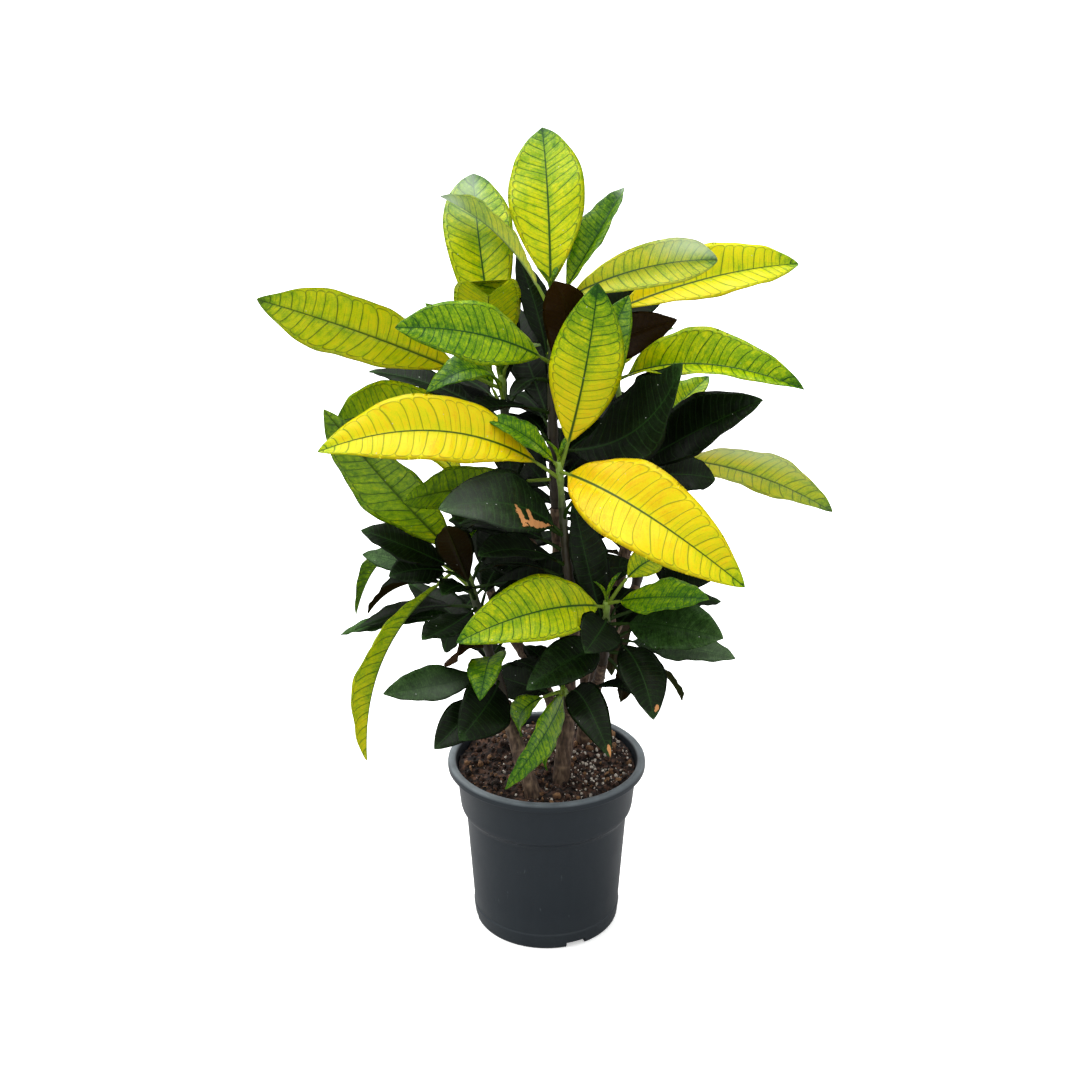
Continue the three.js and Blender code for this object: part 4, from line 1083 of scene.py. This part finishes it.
def leaf_body(base, row, seed, marks=(), notch=0, fine=True):
    """A leaf's points, faces and the values that its skin reads."""
    leaf = Leaf(base, row)
    if notch:
        leaf.bluntness = 0.2
    blade_length = leaf.length * (1 - leaf.start)
    half_count = (9 if leaf.width >= 50 else 7) if fine else 4
    count = int(blade_length / (2.5 if fine else 8)) + 6
    even = np.linspace(0, 1, count)
    share = 0.008 + 0.9905 * (0.7 * even + 0.3 * (0.5 - 0.5 * np.cos(math.pi * even)))
    half = leaf.width / 2 * blade_outline(share, leaf.widest, leaf.bluntness)
    rib = (RIB[0] + (RIB[1] - RIB[0]) * share) * min(1.1, 0.55 + leaf.width / 160)
    share, half, rib = share[:, None], half[:, None], rib[:, None]
    edge = np.minimum(rib / half, 0.6)
    outer = np.arange(1, half_count - 1) / (half_count - 2)
    side = np.concatenate([0.6 * edge, edge, edge + (1 - edge) * outer], axis=1)
    cross = np.concatenate([-side[:, ::-1], np.zeros((count, 1)), side], axis=1)
    out = np.abs(cross)
    rise = np.zeros(2 * half_count + 1)
    rise[half_count - 1 : half_count + 2] = (0.8, 1, 0.8)

    # Side veins leave the midrib at 65 to 82 degrees and bend forward near the margin.
    distance = out * half
    cell = float(np.clip(CELL * blade_length, *CELL_RANGE))
    along = share * blade_length
    slant = 0.14 + 0.32 * draw(0.7 * seed)
    shift = slant * distance + 0.5 * cell * cross**4
    sway = 0.26 * np.sin(along / 19 + seed + (cross > 0)) + 0.14 * np.sin(along / 6.1 + 2.3 * seed)
    phase = (along - shift) / cell + np.where(cross < 0, 0.5, 0) + sway + 40
    puff = np.abs(np.sin(math.pi * phase)) ** 0.7 - 0.55
    puff = puff * (1 - out**6) * (1 - np.exp(-((distance / 3) ** 2)))
    puff = puff * PUFF * leaf.width * min(1, 0.5 + draw(seed))
    ripple = 0.5 * np.sin(2 * math.pi * 7 * share + 3 * seed) * cross**6
    thick = BLADE / 2 * (1 - out**8)
    pulled = share - notch * (1 - out) ** 0.8 * share**8
    upper = leaf.surface(pulled, cross, puff + ripple + thick + 0.25 * rib * rise)
    lower = leaf.surface(pulled, cross, puff + ripple - thick - rib * rise)
    back = slice(-2, 0, -1)
    blade = np.concatenate([upper, lower[:, back]], axis=1)

    around = 4 * half_count
    angle = math.pi * (1 - np.arange(around) / (2 * half_count))
    stalk_share = np.linspace(0, 0.93, 7 if fine else 3)
    point, across, above = leaf.at(leaf.start * stalk_share)
    radius = (STALK[0] + (STALK[1] - STALK[0]) * stalk_share)[:, None, None]
    ring = np.cos(angle)[:, None] * across[:, None] + np.sin(angle)[:, None] * above[:, None]
    stalk = point[:, None] + radius * ring
    points = np.concatenate([stalk, blade]).reshape(-1, 3)

    def spread(on_stalk, on_blade, below=None):
        """A value over the stalk, then over the blade's upper and lower face."""
        on_blade = np.broadcast_to(on_blade, cross.shape)
        below = on_blade if below is None else np.broadcast_to(below, cross.shape)
        stalk_part = np.full((len(stalk_share), around), float(on_stalk))
        return np.concatenate([stalk_part, np.concatenate([on_blade, below[:, back]], axis=1)]).ravel()

    base_green, tip_green = LOOKS[row[9]]
    tipping = np.clip((share - 0.86) / 0.14, 0, 1) ** 1.5 * (0 if notch else 0.35)
    green = base_green + (tip_green - base_green) * share**1.4 + tipping * (base_green < 0.5)
    values = {
        "vein": spread(0.5, phase),
        "reach": spread(0, out),
        "rib": spread(0, out / edge),
        "green": spread(base_green, green),
        "stalk": spread(1, np.clip(1 - share / 0.04, 0, 1)),
        "under": spread(0, 0.0, 1.0),
        "dead": spread(0, 0.0),
        "glare": spread(0, 0.0),
    }
    for kind, strength, at_share, at_cross, long, wide in marks:
        far = ((share - at_share) / long) ** 2 + ((cross - at_cross) / wide) ** 2
        values[kind] = np.maximum(values[kind], spread(0, strength * np.exp(-far)))
    if row[9] == "brown":
        values["under"][:] = 1.6
    return points, wrapped(count + len(stalk_share), around), values


def place_leaves(name, shoot_name, age, look, body):
    """Places leaves of a shoot, old or young, over the shoot's solid of that age."""
    skin = old_skin if look in OLD_LOOKS else young_skin
    place(name, body, skin, [f"shoot_{shoot_name}_{age}"])


grown = grow_hidden()
for name, shoot in SHOOTS.items():
    axis, split = shoot["axis"], shoot["split"]
    for i, row in enumerate(shoot["leaves"]):
        marks, notch = MARKS.get((name, i), ()), NOTCHES.get((name, i), 0)
        body = leaf_body(axis_point(axis, row[0]), row, row[0] + i, marks, notch)
        age = "young" if row[0] > split else "old"
        place_leaves(f"leaf_{name}_{i + 1}", name, age, row[9], body)
    for age in ("young", "old"):
        rows = [row for row in grown[name] if (row[0] > split) == (age == "young")]
        if rows:
            bodies = [leaf_body(axis_point(axis, row[0]), row, row[0], fine=False) for row in rows]
            place_leaves(f"far_leaves_{name}_{age}", name, age, rows[0][9], joined(bodies))


# The green stems of the shoots. They are soft and smooth at the tip, where the newest leaves
# stand folded round the bud, and turn brown and corky below, with a cushion under each stalk.
# Their dark lower part is partly painted shade, where the leaves above hide them.
SHOOT_RADIUS = (5.2, 2.6)
SHOOT_SIDES = 16
CUSHION_HEIGHT = 0.9
CUSHION_REACH = 4
GREEN_STEM = ("2c2113", "2c3414", "7d9a3c")
BUD_LEAVES = 4
BUD_LENGTH = 26


def shoot_bark():
    """A soft green skin that turns dark brown lower down: brown cork, and partly painted shade."""
    made, tree, where = new_material("shoot_stem_soft_green")
    age = add(tree, "Attribute", {}, attribute_name="age").outputs["Fac"]
    cork = add(tree, "TexNoise", {"Vector": where, "Scale": 1 / 0.004, "Detail": 5})
    mixed = add(tree, "Math", {0: cork, 1: 0.35, 2: age}, operation="MULTIPLY_ADD")
    ramp = add(tree, "ValToRGB", {"Fac": mixed}, zip((0.2, 0.6, 1), GREEN_STEM))
    bump = add(tree, "Bump", {"Height": cork, "Strength": 0.5, "Distance": 0.0003})
    skin = add(tree, "BsdfPrincipled", {"Base Color": ramp, "Roughness": 0.5, "Normal": bump})
    add(tree, "OutputMaterial", {"Surface": skin})
    return made


def bud(top):
    """The folded newest leaves at the end of a shoot, each shorter and steeper than the last."""
    leaves = []
    for k in range(BUD_LEAVES):
        turn = math.radians(GOLDEN_ANGLE * k + 40)
        length = BUD_LENGTH - 5 * k
        lean = 0.25 + 0.12 * (BUD_LEAVES - k)
        out = [length * lean * math.cos(turn), length * lean * math.sin(turn), length]
        row = (0, top + out, 0.36 * length, 3, 0, 0, 45, 3, 0.5, "green")
        leaves.append(leaf_body(top - [0, 0, 1.5 * k], row, k, fine=False))
    return joined(leaves)


def cushioned(distance, swell):
    """The relief of a stem with a low cushion wherever a leaf stands."""

    def relief(far, angle, radius):
        return CUSHION_HEIGHT * min(1, np.interp(far, distance, swell))

    return relief


green_bark = shoot_bark()
for name, shoot in SHOOTS.items():
    axis = shoot["axis"]
    curve = flowing(axis, STEM_STEP)
    bases = [axis_point(axis, row[0]) for row in [*shoot["leaves"], *grown[name]]]
    gaps = [np.linalg.norm(curve - base, axis=1) for base in bases]
    swell = sum(np.exp(-((gap / CUSHION_REACH) ** 2)) for gap in gaps)
    relief = cushioned(lengths_along(curve), swell)
    points = swept(curve, SHOOT_RADIUS, SHOOT_SIDES, relief)
    # Most of a stem is dark: its cork, and partly painted shade under the leaves.
    values = {"age": np.repeat(np.linspace(0, 1, len(curve)) ** 2.5, SHOOT_SIDES)}
    body = (points, wrapped(len(curve), SHOOT_SIDES), values)
    nodes = [f"shoot_{name}_old", f"shoot_{name}_young"]
    place(f"shoot_{name}_stem", body, green_bark, nodes)
    place(f"bud_{name}", bud(np.array(axis[-1], float)), young_skin)
